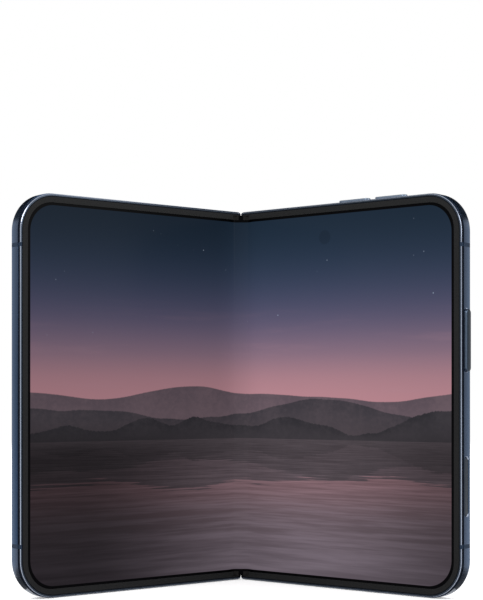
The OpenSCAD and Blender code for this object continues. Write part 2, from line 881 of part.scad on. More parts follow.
// Pair of idlers on one line of axles, one at each end of the hinge
module idler_gear(side, phase) {
    color(BRASS) on_spine() both_ends()
        translate([side * gear_pitch_r, shaft_depth, spine_z0 + gear_z0 + GAP])
        linear_extrude(gear_w - 2 * GAP) difference() {
            gear_outline(phase);
            circle(axle_r + fit);
        }
}

module idler_gear_left() { idler_gear(-1, half_pitch); }

module idler_gear_right() { idler_gear(1, 0); }

// ---------------------------------------------------------------- hinge arms

// Section of an arm's hub and of the step down to its plate
module hub_section() {
    translate([shaft_offset, shaft_depth]) {
        circle(hub_r);
        square([cheek_r, arm_front + arm_t - shaft_depth]);
    }
    translate([shaft_offset, arm_front]) square([arm_start - shaft_offset + GAP, arm_t]);
}

// Arm of one hinge end: two hubs, a timing gear and the plate that screws to the half's frame
module gear_arm(phase) {
    difference() {
        translate([0, 0, spine_z0]) {
            block([arm_start, arm_front, arm_z0], [arm_end, arm_front + arm_t, arm_z1]);
            column(arm_z0, gear_z0) hub_section();
            column(end_hub_z0, arm_z1) hub_section();
            translate([shaft_offset, shaft_depth, gear_z0 - GAP])
                linear_extrude(gear_w) gear_outline(phase + rest_angle);
        }
        shaft_hole();
        for (s = arm_screw_s)
            bore_through(s, spine_z0 + (arm_z0 + arm_z1) / 2, arm_screw_r + GAP, 0, body_t);
    }
}

// Running bore on a half's shaft
module shaft_hole() {
    translate([shaft_offset, shaft_depth, 0]) cylinder(r = shaft_r + fit, h = body_h);
}

module left_gear_arms() { color(STEEL) on_left() both_ends() gear_arm(0); }

module right_gear_arms() { color(STEEL) on_right() both_ends() gear_arm(half_pitch); }

// Plain arm at the middle of the hinge
module middle_arm() {
    zone = arm_zones()[1];
    difference() {
        union() {
            block([arm_start, arm_front, zone[0]], [arm_end, arm_front + arm_t, zone[1]]);
            column(mid_z - middle_hub / 2, mid_z + middle_hub / 2) hub_section();
        }
        shaft_hole();
        for (s = arm_screw_s) bore_through(s, mid_z, arm_screw_r + GAP, 0, body_t);
    }
}

module left_middle_arm() { color(STEEL) on_left() middle_arm(); }

module right_middle_arm() { color(STEEL) on_right() middle_arm(); }

// Screws that hold a half's arms to its frame
module arm_screws() {
    face = arm_front + arm_t;
    for (zone = arm_zones(), s = arm_screw_s) {
        z = (zone[0] + zone[1]) / 2;
        bore_through(s, z, arm_screw_r, floor_back + GAP, face);
        bore_through(s, z, arm_screw_head_r, face, face + arm_screw_head_h);
    }
}

module left_arm_screws() { color(SPRING_STEEL) on_left() arm_screws(); }

module right_arm_screws() { color(SPRING_STEEL) on_right() arm_screws(); }

// Plate behind the bending display that tips back on its pins as the half folds
module wing_plate() {
    translate([wing_pivot_s, wing_pivot_d, 0]) rotate([0, 0, -wing_ratio * rest_angle])
        translate([-wing_pivot_s, -wing_pivot_d, 0]) {
            block([wing_start, display_back + seat_gap, wing_z],
                [wing_pivot_s, display_back + wing_t, body_h - wing_z]);
            block([wing_pivot_s - wing_lip_t, display_back + seat_gap, wing_z],
                [wing_pivot_s, wing_pivot_d, body_h - wing_z]);
            translate([wing_pivot_s, wing_pivot_d, wing_z])
                cylinder(r = wing_barrel_r, h = body_h - 2 * wing_z);
            translate([wing_pivot_s, wing_pivot_d, rail_wall + wing_pin_gap])
                cylinder(r = wing_pin_r, h = body_h - 2 * (rail_wall + wing_pin_gap));
        }
}

module wing_plate_left() { color(STEEL) on_left() wing_plate(); }

module wing_plate_right() { color(STEEL) on_right() wing_plate(); }

// ---------------------------------------------------------------- inside the left half

// Box with rounded corners seen from the front, from one (outward, height) corner to the other
module rounded_slab(from, to, r, d0, d1) {
    slab(d0, d1) {
        translate([from[0] + r, from[1]]) square([to[0] - from[0] - 2 * r, to[1] - from[1]]);
        translate([from[0], from[1] + r]) square([to[0] - from[0], to[1] - from[1] - 2 * r]);
        for (s = [from[0] + r, to[0] - r], z = [from[1] + r, to[1] - r]) translate([s, z]) circle(r);
    }
}

module left_battery() {
    color(BATTERY_GREY) on_left()
        rounded_slab(left_battery_from, left_battery_to, battery_r, inner_front, inner_back);
}

// Blocks on a board that the ribbon cables plug into
module flex_plugs(front) {
    for (z = flex_z) block([cavity_start + plug_inset, front, z - plug_w / 2],
        [plug_end, flex_depth - plug_gap, z + plug_w / 2]);
}

module left_board() {
    front = inner_front + left_board_gap;
    color(BOARD_GREEN) on_left()
        rounded_slab(left_board_from, left_board_to, board_r, front, front + left_board_t);
    color(FOIL_BLACK) on_left() flex_plugs(front + left_board_t);
}

module cover_display() {
    color(FOIL_BLACK) on_left() difference() {
        slab(ledge_front + GAP, ledge_back)
            half_outline(hinge_strip_w + panel_start, rail_wall + panel_edge);
        bore_through(cover_camera_s, cover_camera_z, cover_camera_r + panel_camera_gap, 0, body_t);
    }
}

// Glass over the cover display, set in the left frame's rear ledge
module cover_glass() {
    color(PANEL_DARK) on_left() rear_glass();
}

module rear_glass() {
    slab(rear_glass_front, body_t) half_outline(hinge_strip_w + GAP, rail_wall + GAP);
}

module cover_camera() {
    color(LENS_GLASS) on_left() {
        bore_through(cover_camera_s, cover_camera_z, cover_camera_r,
            inner_front + cover_camera_front, ledge_back);
        rounded_slab([cover_camera_s - cover_module_half, cover_camera_z - cover_module_half],
            [cover_camera_s + cover_module_half, cover_camera_z + cover_module_half],
            cover_module_r, inner_front, inner_front + cover_module_t);
    }
}

module receiver() {
    color(FOIL_BLACK) on_left()
        rounded_slab(receiver_from, receiver_to, receiver_r, inner_front, inner_back);
}

// Bar magnets that hold the halves shut
module magnets() {
    block([half_w - magnet_reach, inner_front, magnet_z[0]],
        [half_w - rail_wall - magnet_gap, inner_back, magnet_z[1]]);
}

module left_magnets() { color(STEEL) on_left() magnets(); }

module right_magnets() { color(STEEL) on_right() magnets(); }

// ---------------------------------------------------------------- inside the right half

module right_battery() {
    color(BATTERY_GREY) on_right()
        rounded_slab(right_battery_from, right_battery_to, battery_r, inner_front,
            inner_back - right_battery_gap);
}

module charging_coil() {
    color(COIL_COPPER) on_right() slab(inner_back - coil_t, inner_back) translate(coil_at) difference() {
        circle(coil_outer_r);
        circle(coil_inner_r);
    }
}

module main_board() {
    front = inner_front + main_board_gap;
    color(BOARD_GREEN) on_right() difference() {
        slab(front, front + main_board_t) {
            translate([cavity_start, main_board_z])
                square([main_board_w, body_h - main_board_z - main_board_top]);
            translate([cavity_start, leg_z]) square([leg_w, main_board_z + leg_lap - leg_z]);
        }
        bore_through(inner_camera_s, inner_camera_z, inner_camera_r + board_camera_gap, 0, body_t);
    }
    color(FOIL_BLACK) on_right() flex_plugs(front + main_board_t);
}

// Tinned lid over the main board's chips
module board_shield() {
    front = inner_front + main_board_gap + main_board_t + seat_gap;
    color(STEEL) on_right() difference() {
        rounded_slab(shield_from, shield_to, shield_r, front, inner_back);
        rounded_slab(shield_from + [shield_wall, shield_wall], shield_to - [shield_wall, shield_wall],
            shield_r - shield_wall, front - CUT, inner_back - shield_roof);
    }
}

// Island's outline, a bar with round ends that stands upright
module island_outline(grow) {
    translate([island_s, island_z]) rotate(90) round_bar(island_len + 2 * grow, island_w + 2 * grow);
}

module back_glass() {
    color(GLASS_BLUE) on_right() difference() {
        rear_glass();
        slab(rear_glass_front - CUT, body_t + CUT) island_outline(GAP);
    }
}

// Places a part at each rear lens
module at_lenses() {
    for (side = [-1, 1]) translate([island_s, 0, island_z + side * lens_pitch]) children();
}

// Metal plateau round the rear cameras, with a raised rim at each lens
module camera_island() {
    top = body_t + island_h;
    color(RAIL_BLUE) on_right() difference() {
        union() {
            slab(island_seat, top) island_outline(0);
            at_lenses() bore_through(0, 0, lens_r + lens_rim, body_t, top + lens_rim_h);
        }
        at_lenses() {
            bore_through(0, 0, barrel_r + GAP, 0, top);
            bore_through(0, 0, lens_r + seat_gap, top + lens_rim_h - lens_glass_t - lens_drop, top + CUT);
        }
        bore_through(island_s, island_z, flash_r + seat_gap, 0, top + CUT);
    }
}

module lens_covers() {
    top = body_t + island_h + lens_rim_h;
    color(LENS_GLASS) on_right() at_lenses()
        bore_through(0, 0, lens_r, top - lens_glass_t - lens_drop, top - lens_drop);
}

// Rear camera: square housing inside, barrel up into the island
module camera_module(side, z_half) {
    z = island_z + side * lens_pitch;
    color(FOIL_BLACK) on_right() {
        rounded_slab([island_s - module_half, z - z_half], [island_s + module_half, z + z_half],
            module_r, inner_front, inner_back);
        bore_through(island_s, z, barrel_r, inner_back, body_t + island_h - barrel_drop);
    }
}

module main_camera() { camera_module(1, module_half); }

module wide_camera() { camera_module(-1, wide_module_half); }

module flash_lamp() {
    color(FLASH_WHITE) on_right()
        bore_through(island_s, island_z, flash_r, inner_back, body_t + island_h - GAP);
}

// Camera that looks out through the inner display
module inner_camera() {
    color(LENS_GLASS) on_right() {
        bore_through(inner_camera_s, inner_camera_z, inner_camera_r, display_back + GAP,
            inner_front + camera_back);
        bore_through(inner_camera_s, inner_camera_z, inner_camera_r + camera_flange,
            inner_front + camera_flange_front, inner_back);
    }
}

module usb_c_port() {
    color(STEEL) on_right() translate([usb_s, rail_mid, usb_z0]) {
        difference() {
            linear_extrude(usb_len) round_bar(usb_w + 2 * usb_wall, usb_t + 2 * usb_wall);
            translate([0, 0, -CUT]) linear_extrude(usb_len - usb_wall + CUT) round_bar(usb_w, usb_t);
        }
        translate([-tongue_w / 2, -tongue_t / 2, tongue_z])
            cube([tongue_w, tongue_t, usb_len - tongue_z - tongue_root]);
    }
}

module loudspeaker() {
    color(FOIL_BLACK) on_right()
        rounded_slab([speaker_s, speaker_z[0]], [speaker_s + speaker_w, speaker_z[1]], speaker_r,
            inner_front, inner_back);
}

module haptic_motor() {
    color(STEEL) on_right()
        rounded_slab(haptic_from, haptic_to, haptic_r, inner_front, inner_back - haptic_gap);
}

// Strip with a click dome under each key, along the outer and top rails
module key_flex() {
    inset = rail_wall + key_travel + dome_h + flex_strip_t + dome_gap;
    side_s = half_w - inset;
    top_z = body_h - inset;
    half_strip = key_strip_half_w;
    color(BRASS) on_right() {
        for (z = [side_key_z, touch_key_z])
            block([side_s, key_mid - half_strip, z - key_strip_reach],
                [side_s + flex_strip_t, key_mid + half_strip, z + key_strip_reach]);
        for (z = [side_key_z, touch_key_z]) translate([side_s + flex_strip_t - seat_gap, key_mid, z])
            rotate([0, 90, 0]) cylinder(r = dome_r, h = dome_h);
        block([volume_down_s - volume_strip_reach, key_mid - half_strip, top_z],
            [volume_up_s + volume_strip_reach, key_mid + half_strip, top_z + flex_strip_t]);
        for (s = [volume_down_s, volume_up_s]) translate([s, key_mid, top_z + flex_strip_t - seat_gap])
            cylinder(r = dome_r, h = dome_h);
    }
}

// ---------------------------------------------------------------- keys

// Key drawn upright on its seat: a bar cap and two guide pins; z = 0 is the rail's outer face
module key_shape(len, proud) {
    translate([0, 0, -key_seat]) linear_extrude(key_seat + proud - key_edge) round_bar(len, key_w);
    translate([0, 0, proud - key_edge - seat_gap]) linear_extrude(key_edge + seat_gap)
        round_bar(len - 2 * key_edge, key_w - 2 * key_edge);
    for (side = [-1, 1]) translate([side * (len / 2 - key_pin_inset), 0, -rail_wall - key_pin_gap])
        cylinder(r = key_pin_r, h = rail_wall);
}

// Places a key of the outer rail
module on_side_rail(z) {
    on_right() translate([half_w, key_mid, z]) rotate([0, 90, 0]) children();
}

// Places a key of the top rail
module on_top_rail(s) {
    on_right() translate([s, key_mid, body_h]) children();
}

module side_key() { color(KEY_BLUE) on_side_rail(side_key_z) key_shape(side_key_len, key_proud); }

module touch_key() {
    color(KEY_BLUE) on_side_rail(touch_key_z) key_shape(touch_key_len, -touch_key_sink);
}

module volume_up_key() {
    color(KEY_BLUE) on_top_rail(volume_up_s) key_shape(volume_key_len, volume_key_proud);
}

module volume_down_key() {
    color(KEY_BLUE) on_top_rail(volume_down_s) key_shape(volume_key_len, volume_key_proud);
}

spine_cover();
spine_cap_top();
spine_cap_bottom();
hinge_bracket_top();
hinge_bracket_middle();
hinge_bracket_bottom();
hinge_shafts();
idler_axles();
disc_springs();
hinge_screws();
fold_support_strip();
display_bend();
hinge_flex_cables();
idler_gear_left();
idler_gear_right();
wing_plate_left();
wing_plate_right();
left_frame();
left_bezel();
left_display();
left_display_plate();
left_battery();
left_board();
left_gear_arms();
left_middle_arm();
left_arm_screws();
left_antenna_bands();
left_magnets();
cover_glass();
cover_display();
cover_camera();
receiver();
right_frame();
right_bezel();
right_display();
right_display_plate();
right_battery();
main_board();
board_shield();
right_gear_arms();
right_middle_arm();
right_arm_screws();
right_antenna_bands();
right_magnets();
back_glass();
camera_island();
lens_covers();
main_camera();
wide_camera();
flash_lamp();
inner_camera();
charging_coil();
usb_c_port();
loudspeaker();
haptic_motor();
key_flex();
volume_up_key();
volume_down_key();
side_key();
touch_key();
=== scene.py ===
"""Looks of a book-format folding phone that stands half open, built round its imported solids.

Sizes are in millimetres, as drawn on one half laid flat: s outward from the hinge line, d back
from the front face and z up from the bottom edge. They are turned into place in metres.
"""

import logging
import math
from dataclasses import dataclass
from enum import Enum
from typing import Any, Callable, Iterable, Optional, Sequence, Union

import bmesh
import bpy
from mathutils import Matrix, Vector


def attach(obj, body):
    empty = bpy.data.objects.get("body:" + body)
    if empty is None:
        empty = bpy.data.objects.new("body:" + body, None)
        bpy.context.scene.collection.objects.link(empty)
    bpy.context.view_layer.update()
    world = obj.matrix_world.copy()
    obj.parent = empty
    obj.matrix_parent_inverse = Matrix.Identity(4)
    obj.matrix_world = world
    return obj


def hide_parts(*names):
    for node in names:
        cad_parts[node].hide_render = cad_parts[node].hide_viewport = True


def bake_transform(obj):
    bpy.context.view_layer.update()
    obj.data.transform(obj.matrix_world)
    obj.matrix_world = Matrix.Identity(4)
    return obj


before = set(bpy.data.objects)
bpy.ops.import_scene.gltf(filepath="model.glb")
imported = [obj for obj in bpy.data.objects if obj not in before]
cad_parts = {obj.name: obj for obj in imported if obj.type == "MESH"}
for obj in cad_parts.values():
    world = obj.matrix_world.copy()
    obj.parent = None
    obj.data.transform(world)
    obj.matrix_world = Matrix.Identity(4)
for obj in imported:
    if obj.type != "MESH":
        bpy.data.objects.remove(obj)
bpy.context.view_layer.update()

LOG = logging.getLogger("folding_phone")
MM = 0.001
WELD = 1e-6
FLAT_ANGLE = math.radians(0.4)
WINDOW_SOFTNESS = 0.04

Colour = tuple[float, float, float]
Point = tuple[float, float, float]
Socket = bpy.types.NodeSocket
Value = Union[Socket, float, Sequence[float]]


class Side(Enum):
    """The two halves, by the sign of x on which each lies."""

    LEFT = -1
    RIGHT = 1

    @property
    def word(self) -> str:
        """Name of the half, as its nodes begin."""
        return self.name.lower()

    @property
    def body(self) -> str:
        """CAD body that the half's fixed pieces ride on."""
        return f"{self.word}_half"


class Rail(Enum):
    """The rails that carry keys."""

    OUTER = "outer"
    TOP = "top"


@dataclass(frozen=True)
class Layout:
    """Sizes and places that every sub-assembly shares."""

    height: float = 121.0
    half_width: float = 84.0
    thickness: float = 5.4
    corner: float = 11.8
    fold: float = math.radians(38.5)
    shaft_s: float = 2.15
    shaft_d: float = 2.0
    hinge_end: float = 2.1
    display_front: float = 0.25
    display_back: float = 0.75
    rail_mid: float = 2.8
    key_mid: float = 2.55
    rim: float = 0.8
    bezel: float = 2.0
    inner_front: float = 1.5
    inner_back: float = 4.3

    @property
    def centre_y(self) -> float:
        """Shift in y that centres the standing phone on the origin.

        Returns:
            The shift in millimetres.
        """
        front = self.shaft_d - (self.half_width - self.shaft_s) * math.sin(self.fold)
        front -= self.shaft_d * math.cos(self.fold)
        rear = self.shaft_d + self.hinge_end * math.sin(self.fold)
        rear += (self.thickness - self.shaft_d) * math.cos(self.fold)
        return -(front + rear) / 2

    def turned(self, s: float, d: float, share: float = 1.0) -> tuple[float, float]:
        """Turns a point of the flat right half by a share of the standing angle.

        Args:
            s: Distance outward from the hinge line.
            d: Depth behind the front face.
            share: Share of the standing angle, 1 on the half and 0 on the spine.

        Returns:
            The point's x and y, with y counted from the flat front face.
        """
        angle = self.fold * share
        out, back = s - self.shaft_s, d - self.shaft_d
        return (
            self.shaft_s + out * math.cos(angle) + back * math.sin(angle),
            self.shaft_d - out * math.sin(angle) + back * math.cos(angle),
        )

    def bend_share(self, s: float, d: float, reach: float, middle: float) -> float:
        """Finds the share of the standing angle that a point of a bending sheet takes.

        Args:
            s: Distance outward from the hinge line.
            d: Depth behind the front face.
            reach: Distance out at which the sheet is rigid on its half.
            middle: Depth of the sheet's middle.

        Returns:
            The share, from 0 at the hinge line to 1 where the sheet is rigid.
        """
        if s >= reach:
            return 1.0
        start = Vector(self.turned(reach, middle))
        line = Vector((0.0, middle)) - start
        share = 0.5
        for _ in range(40):
            along = (Vector(self.turned(s, d, share)) - start).dot(line) / line.dot(line)
            along = min(max(along, 0.0), 1.0)
            share = (share + 1 - along * along * (3 - 2 * along)) / 2
        return share

    def point(self, side: Side, s: float, d: float, z: float, share: float = 1.0) -> Vector:
        """Places one point of a half.

        Args:
            side: The half.
            s: Distance outward from the hinge line.
            d: Depth behind the front face.
            z: Height.
            share: Share of the standing angle that the point takes.

        Returns:
            The point in metres.
        """
        x, y = self.turned(s, d, share)
        return Vector((side.value * x, y + self.centre_y, z)) * MM

    def matrix(self, side: Side) -> Matrix:
        """Makes the map from a half's flat millimetres to its standing place in metres.

        Args:
            side: The half.

        Returns:
            The map, which mirrors for the left half.
        """
        to_shaft = Matrix.Translation((-self.shaft_s, -self.shaft_d, 0))
        back = Matrix.Translation((self.shaft_s, self.shaft_d + self.centre_y, 0))
        mirror = Matrix.Diagonal((side.value, 1, 1, 1))
        scale = Matrix.Scale(MM, 4)
        return scale @ mirror @ back @ Matrix.Rotation(-self.fold, 4, "Z") @ to_shaft


LAYOUT = Layout()


# ------------------------------------------------------------------ meshes


def new_piece(bm: bmesh.types.BMesh, name: str, smooth_angle: float = 30.0) -> bpy.types.Object:
    """Turns a finished bmesh into an object at the origin, smooth up to an angle.

    Args:
        bm: The mesh, in its place in metres. It is freed.
        name: Name of the piece.
        smooth_angle: Angle in degrees above which an edge stays sharp.

    Returns:
        The object.
    """
    mesh = bpy.data.meshes.new(name)
    for face in bm.faces:
        face.smooth = True
    bm.to_mesh(mesh)
    bm.free()
    mesh.set_sharp_from_angle(angle=math.radians(smooth_angle))
    piece = bpy.data.objects.new(name, mesh)
    bpy.context.collection.objects.link(piece)
    return piece


def settle(bm: bmesh.types.BMesh, place: Matrix) -> None:
    """Moves a mesh into its place and keeps its faces pointing outwards.

    Args:
        bm: The mesh.
        place: The map to its place, which may mirror.
    """
    bmesh.ops.transform(bm, matrix=place, verts=bm.verts)
    bmesh.ops.recalc_face_normals(bm, faces=bm.faces)


def read_node(node: str) -> bmesh.types.BMesh:
    """Reads a CAD node's mesh with its doubles merged and its flat faces joined.

    Args:
        node: Name of the node.

    Returns:
        The mesh, in metres.
    """
    bm = bmesh.new()
    bm.from_mesh(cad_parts[node].data)
    bmesh.ops.remove_doubles(bm, verts=bm.verts, dist=WELD)
    bmesh.ops.dissolve_limit(
        bm, angle_limit=FLAT_ANGLE, verts=bm.verts, edges=bm.edges, use_dissolve_boundaries=False
    )
    return bm


def soften(piece: bpy.types.Object, width: float, segments: int = 2, angle: float = 40.0) -> None:
    """Rounds a piece's sharp edges with a bevel modifier.

    Args:
        piece: The piece.
        width: Width of the rounding in millimetres.
        segments: Number of faces across it.
        angle: Angle in degrees above which an edge is rounded.
    """
    bevel = piece.modifiers.new("soft_edges", "BEVEL")
    bevel.width = width * MM
    bevel.segments = segments
    bevel.profile = 0.5
    bevel.limit_method = "ANGLE"
    bevel.angle_limit = math.radians(angle)
    bevel.harden_normals = True


def turned_shell(profile: Sequence[tuple[float, float]], segments: int = 64) -> bmesh.types.BMesh:
    """Spins a profile round the z axis.

    Args:
        profile: Points as (radius, height), in order.
        segments: Number of steps in the full turn.

    Returns:
        The mesh, with seam and poles closed.
    """
    bm = bmesh.new()
    points = [bm.verts.new((radius, 0, height)) for radius, height in profile]
    edges = [bm.edges.new(pair) for pair in zip(points, points[1:])]
    bmesh.ops.spin(
        bm,
        geom=points + edges,
        cent=(0, 0, 0),
        axis=(0, 0, 1),
        angle=math.tau,
        steps=segments,
        use_merge=True,
    )
    bmesh.ops.remove_doubles(bm, verts=bm.verts, dist=WELD)
    bmesh.ops.recalc_face_normals(bm, faces=bm.faces)
    return bm


def add_bar(
    bm: bmesh.types.BMesh,
    length: float,
    width: float,
    low: float,
    high: float,
    corner: float,
    edge: float = 0.0,
) -> None:
    """Adds a bar with rounded corners, lengthways along x and standing on z.

    Args:
        bm: The mesh to add to.
        length: Length along x.
        width: Width along y.
        low: Height of its foot.
        high: Height of its top.
        corner: Radius of the corners seen from above.
        edge: Radius of the rounding round its top, or 0 for none.
    """
    made = bmesh.ops.create_grid(bm, x_segments=1, y_segments=1, size=0.5)["verts"]
    shape = Matrix.Translation((0, 0, low)) @ Matrix.Diagonal((length, width, 1, 1))
    bmesh.ops.transform(bm, matrix=shape, verts=made)
    rounded = bmesh.ops.bevel(
        bm, geom=made, offset=corner, affect="VERTICES", segments=10, profile=0.5, material=-1
    )
    base = [face for face in bm.faces if face.verts[0] in rounded["verts"]]
    raised = bmesh.ops.extrude_face_region(bm, geom=base, use_keep_orig=True)["geom"]
    top = [item for item in raised if isinstance(item, bmesh.types.BMVert)]
    bmesh.ops.translate(bm, vec=(0, 0, high - low), verts=top)
    if edge:
        rim = [item for item in raised if isinstance(item, bmesh.types.BMEdge)]
        bmesh.ops.bevel(bm, geom=rim, offset=edge, affect="EDGES", segments=4, profile=0.5, material=-1)


def rear_facing(s: float, d: float, z: float) -> Matrix:
    """Makes the map that stands an upright shape on the right half's rear, top outwards.

    Args:
        s: Distance outward of the shape's axis.
        d: Depth of its foot.
        z: Height of its axis.

    Returns:
        The map, to metres.
    """
    return LAYOUT.matrix(Side.RIGHT) @ Matrix.Translation((s, d, z)) @ Matrix.Rotation(-math.pi / 2, 4, "X")


# ------------------------------------------------------------------ shader graphs


class Graph:
    """Adds nodes and links to one shader tree."""

    def __init__(self, tree: bpy.types.NodeTree) -> None:
        """Keeps the tree to add to."""
        self.tree = tree

    def node(self, kind: str, inputs: Optional[dict[Any, Value]] = None, **settings: Any) -> bpy.types.Node:
        """Adds a node.

        Args:
            kind: Type of the node, without its ShaderNode prefix.
            inputs: What each input gets, by name or index: a socket to link or a plain value.
            **settings: Properties of the node.

        Returns:
            The node.
        """
        made = self.tree.nodes.new("ShaderNode" + kind)
        for key, value in settings.items():
            setattr(made, key, value)
        for key, value in (inputs or {}).items():
            self.feed(made.inputs[key], value)
        return made

    def feed(self, target: Socket, value: Value) -> None:
        """Links a socket to an input, or sets the input's value.

        Args:
            target: The input.
            value: A socket to link, or a plain value.
        """
        if isinstance(value, bpy.types.NodeSocket):
            self.tree.links.new(value, target)
        elif target.type == "RGBA" and len(value) == 3:
            target.default_value = (*value, 1.0)
        else:
            target.default_value = value

    def math(self, operation: str, *values: Value) -> Socket:
        """Adds a Math node fed by the values in order and returns its result."""
        made = self.node("Math", dict(enumerate(values)), operation=operation)
        return made.outputs[0]

    def between(
        self, value: Value, low: Value, high: Value, to_low: Value = 0.0, to_high: Value = 1.0
    ) -> Socket:
        """Maps a value from one range to another, with eased ends, and holds it there.

        Args:
            value: The value.
            low: Value that becomes to_low.
            high: Value that becomes to_high.
            to_low: First end of the new range.
            to_high: Second end of the new range.

        Returns:
            The mapped value.
        """
        inputs = {0: value, 1: low, 2: high, 3: to_low, 4: to_high}
        return self.node("MapRange", inputs, interpolation_type="SMOOTHSTEP", clamp=True).outputs[0]

    def mix(self, share: Value, first: Value, second: Value) -> Socket:
        """Mixes two colours.

        Args:
            share: Share of the second.
            first: First colour.
            second: Second colour.

        Returns:
            The mixed colour.
        """
        made = self.node("Mix", {"Factor": share}, data_type="RGBA")
        self.feed(made.inputs[6], first)
        self.feed(made.inputs[7], second)
        return made.outputs[2]

    def mix_values(self, share: Value, first: Value, second: Value) -> Socket:
        """Mixes two values and returns the result."""
        return self.node("Mix", {"Factor": share, 2: first, 3: second}, data_type="FLOAT").outputs[0]

    def dimmed(self, colour: Value, level: Value) -> Socket:
        """Multiplies a colour by a brightness and returns the result."""
        return self.node("VectorMath", {0: colour, "Scale": level}, operation="SCALE").outputs[0]

    def parts(self, vector: Socket) -> Any:
        """Splits a vector and returns the sockets of its three parts."""
        return self.node("SeparateXYZ", {0: vector}).outputs

    def joined(self, across: Value, up: Value) -> Socket:
        """Joins two values into a vector whose third part is zero."""
        return self.node("CombineXYZ", {0: across, 1: up}).outputs[0]

    def noise(self, vector: Socket, scale: Value, detail: float = 2.0, roughness: float = 0.5) -> Socket:
        """Adds a noise texture and returns its value, which stays about 0.5."""
        inputs = {"Vector": vector, "Scale": scale, "Detail": detail, "Roughness": roughness}
        return self.node("TexNoise", inputs).outputs[0]

    def scaled(self, vector: Socket, scale: Sequence[float], shift: Sequence[float] = (0, 0, 0)) -> Socket:
        """Stretches and shifts a vector with a Mapping node."""
        inputs = {"Vector": vector, "Scale": tuple(scale), "Location": tuple(shift)}
        return self.node("Mapping", inputs).outputs[0]

    def place(self) -> Socket:
        """Adds the coordinates of the piece, in metres."""
        return self.node("TexCoord").outputs["Object"]

    def flat_place(self) -> Socket:
        """Adds the coordinates of a piece in the flat millimetres that its mesh keeps."""
        return self.node("Attribute", attribute_name="flat_mm").outputs["Vector"]

    def group(self, tree: bpy.types.NodeTree, inputs: dict[str, Value]) -> bpy.types.Node:
        """Adds a node group and feeds its inputs.

        Args:
            tree: The group.
            inputs: What each of its inputs gets.

        Returns:
            The group's node.
        """
        made = self.tree.nodes.new("ShaderNodeGroup")
        made.node_tree = tree
        for key, value in inputs.items():
            self.feed(made.inputs[key], value)
        return made


GroupBody = Callable[[Graph, dict[str, Socket]], dict[str, Socket]]


def shared_effect(
    name: str, inputs: dict[str, str], outputs: dict[str, str], body: GroupBody
) -> bpy.types.NodeTree:
    """Builds a node group once and finds it again later.

    Args:
        name: Name of the group.
        inputs: Its inputs, each with the type of its socket.
        outputs: Its outputs, each with the type of its socket.
        body: Makes the outputs' sockets from the inputs'.

    Returns:
        The group.
    """
    found = bpy.data.node_groups.get(name)
    if found:
        return found
    tree = bpy.data.node_groups.new(name, "ShaderNodeTree")
    for socket, kind in inputs.items():
        tree.interface.new_socket(socket, in_out="INPUT", socket_type="NodeSocket" + kind)
    for socket, kind in outputs.items():
        tree.interface.new_socket(socket, in_out="OUTPUT", socket_type="NodeSocket" + kind)
    entry = tree.nodes.new("NodeGroupInput")
    leave = tree.nodes.new("NodeGroupOutput")
    made = body(Graph(tree), {socket: entry.outputs[socket] for socket in inputs})
    for socket, value in made.items():
        tree.links.new(value, leave.inputs[socket])
    return tree


def surface_wear() -> bpy.types.NodeTree:
    """Finds the group that mottles a colour, varies its roughness and gives it a fine grain.

    Returns:
        The group.
    """

    def body(graph: Graph, given: dict[str, Socket]) -> dict[str, Socket]:
        """Makes the group's outputs.

        Args:
            graph: The group's tree.
            given: Its input sockets.

        Returns:
            Colour, roughness and height, by the outputs' names.
        """
        broad = graph.noise(given["Vector"], given["Patch Scale"], 3.0)
        fine = graph.noise(given["Vector"], given["Grain Scale"], 2.0, 0.6)
        shade = graph.math("MULTIPLY", graph.math("SUBTRACT", broad, 0.5), given["Mottle"])
        speck = graph.math("MULTIPLY", graph.math("SUBTRACT", fine, 0.5), given["Speckle"])
        level = graph.math("ADD", graph.math("ADD", shade, speck), 1.0)
        colour = graph.dimmed(given["Color"], level)
        drift = graph.math("MULTIPLY", graph.math("SUBTRACT", broad, 0.5), given["Smudge"])
        rough = graph.math("ADD", given["Roughness"], drift)
        return {"Color": colour, "Roughness": rough, "Height": fine}

    floats = ("Roughness", "Patch Scale", "Grain Scale", "Mottle", "Speckle", "Smudge")
    inputs = {"Vector": "Vector", "Color": "Color"} | {name: "Float" for name in floats}
    outputs = {"Color": "Color", "Roughness": "Float", "Height": "Float"}
    return shared_effect("surface_wear", inputs, outputs, body)


def rounded_window() -> bpy.types.NodeTree:
    """Finds the group that masks a rectangle with rounded corners, centred on zero.

    Returns:
        The group.
    """

    def body(graph: Graph, given: dict[str, Socket]) -> dict[str, Socket]:
        """Makes the mask from the distance to the rectangle's edge.

        Args:
            graph: The group's tree.
            given: Its input sockets.

        Returns:
            The mask, by the output's name.
        """
        beyond = []
        for value, half in ((given["X"], given["Half Width"]), (given["Y"], given["Half Height"])):
            inner = graph.math("SUBTRACT", half, given["Corner"])
            beyond.append(graph.math("SUBTRACT", graph.math("ABSOLUTE", value), inner))
        outside = [graph.math("MAXIMUM", value, 0.0) for value in beyond]
        reach = graph.math("SQRT", graph.math("ADD", *(graph.math("POWER", value, 2.0) for value in outside)))
        within = graph.math("MINIMUM", graph.math("MAXIMUM", *beyond), 0.0)
        distance = graph.math("SUBTRACT", graph.math("ADD", reach, within), given["Corner"])
        return {"Mask": graph.between(distance, -WINDOW_SOFTNESS, WINDOW_SOFTNESS, 1.0, 0.0)}

    names = ("X", "Y", "Half Width", "Half Height", "Corner")
    return shared_effect("rounded_window", {name: "Float" for name in names}, {"Mask": "Float"}, body)


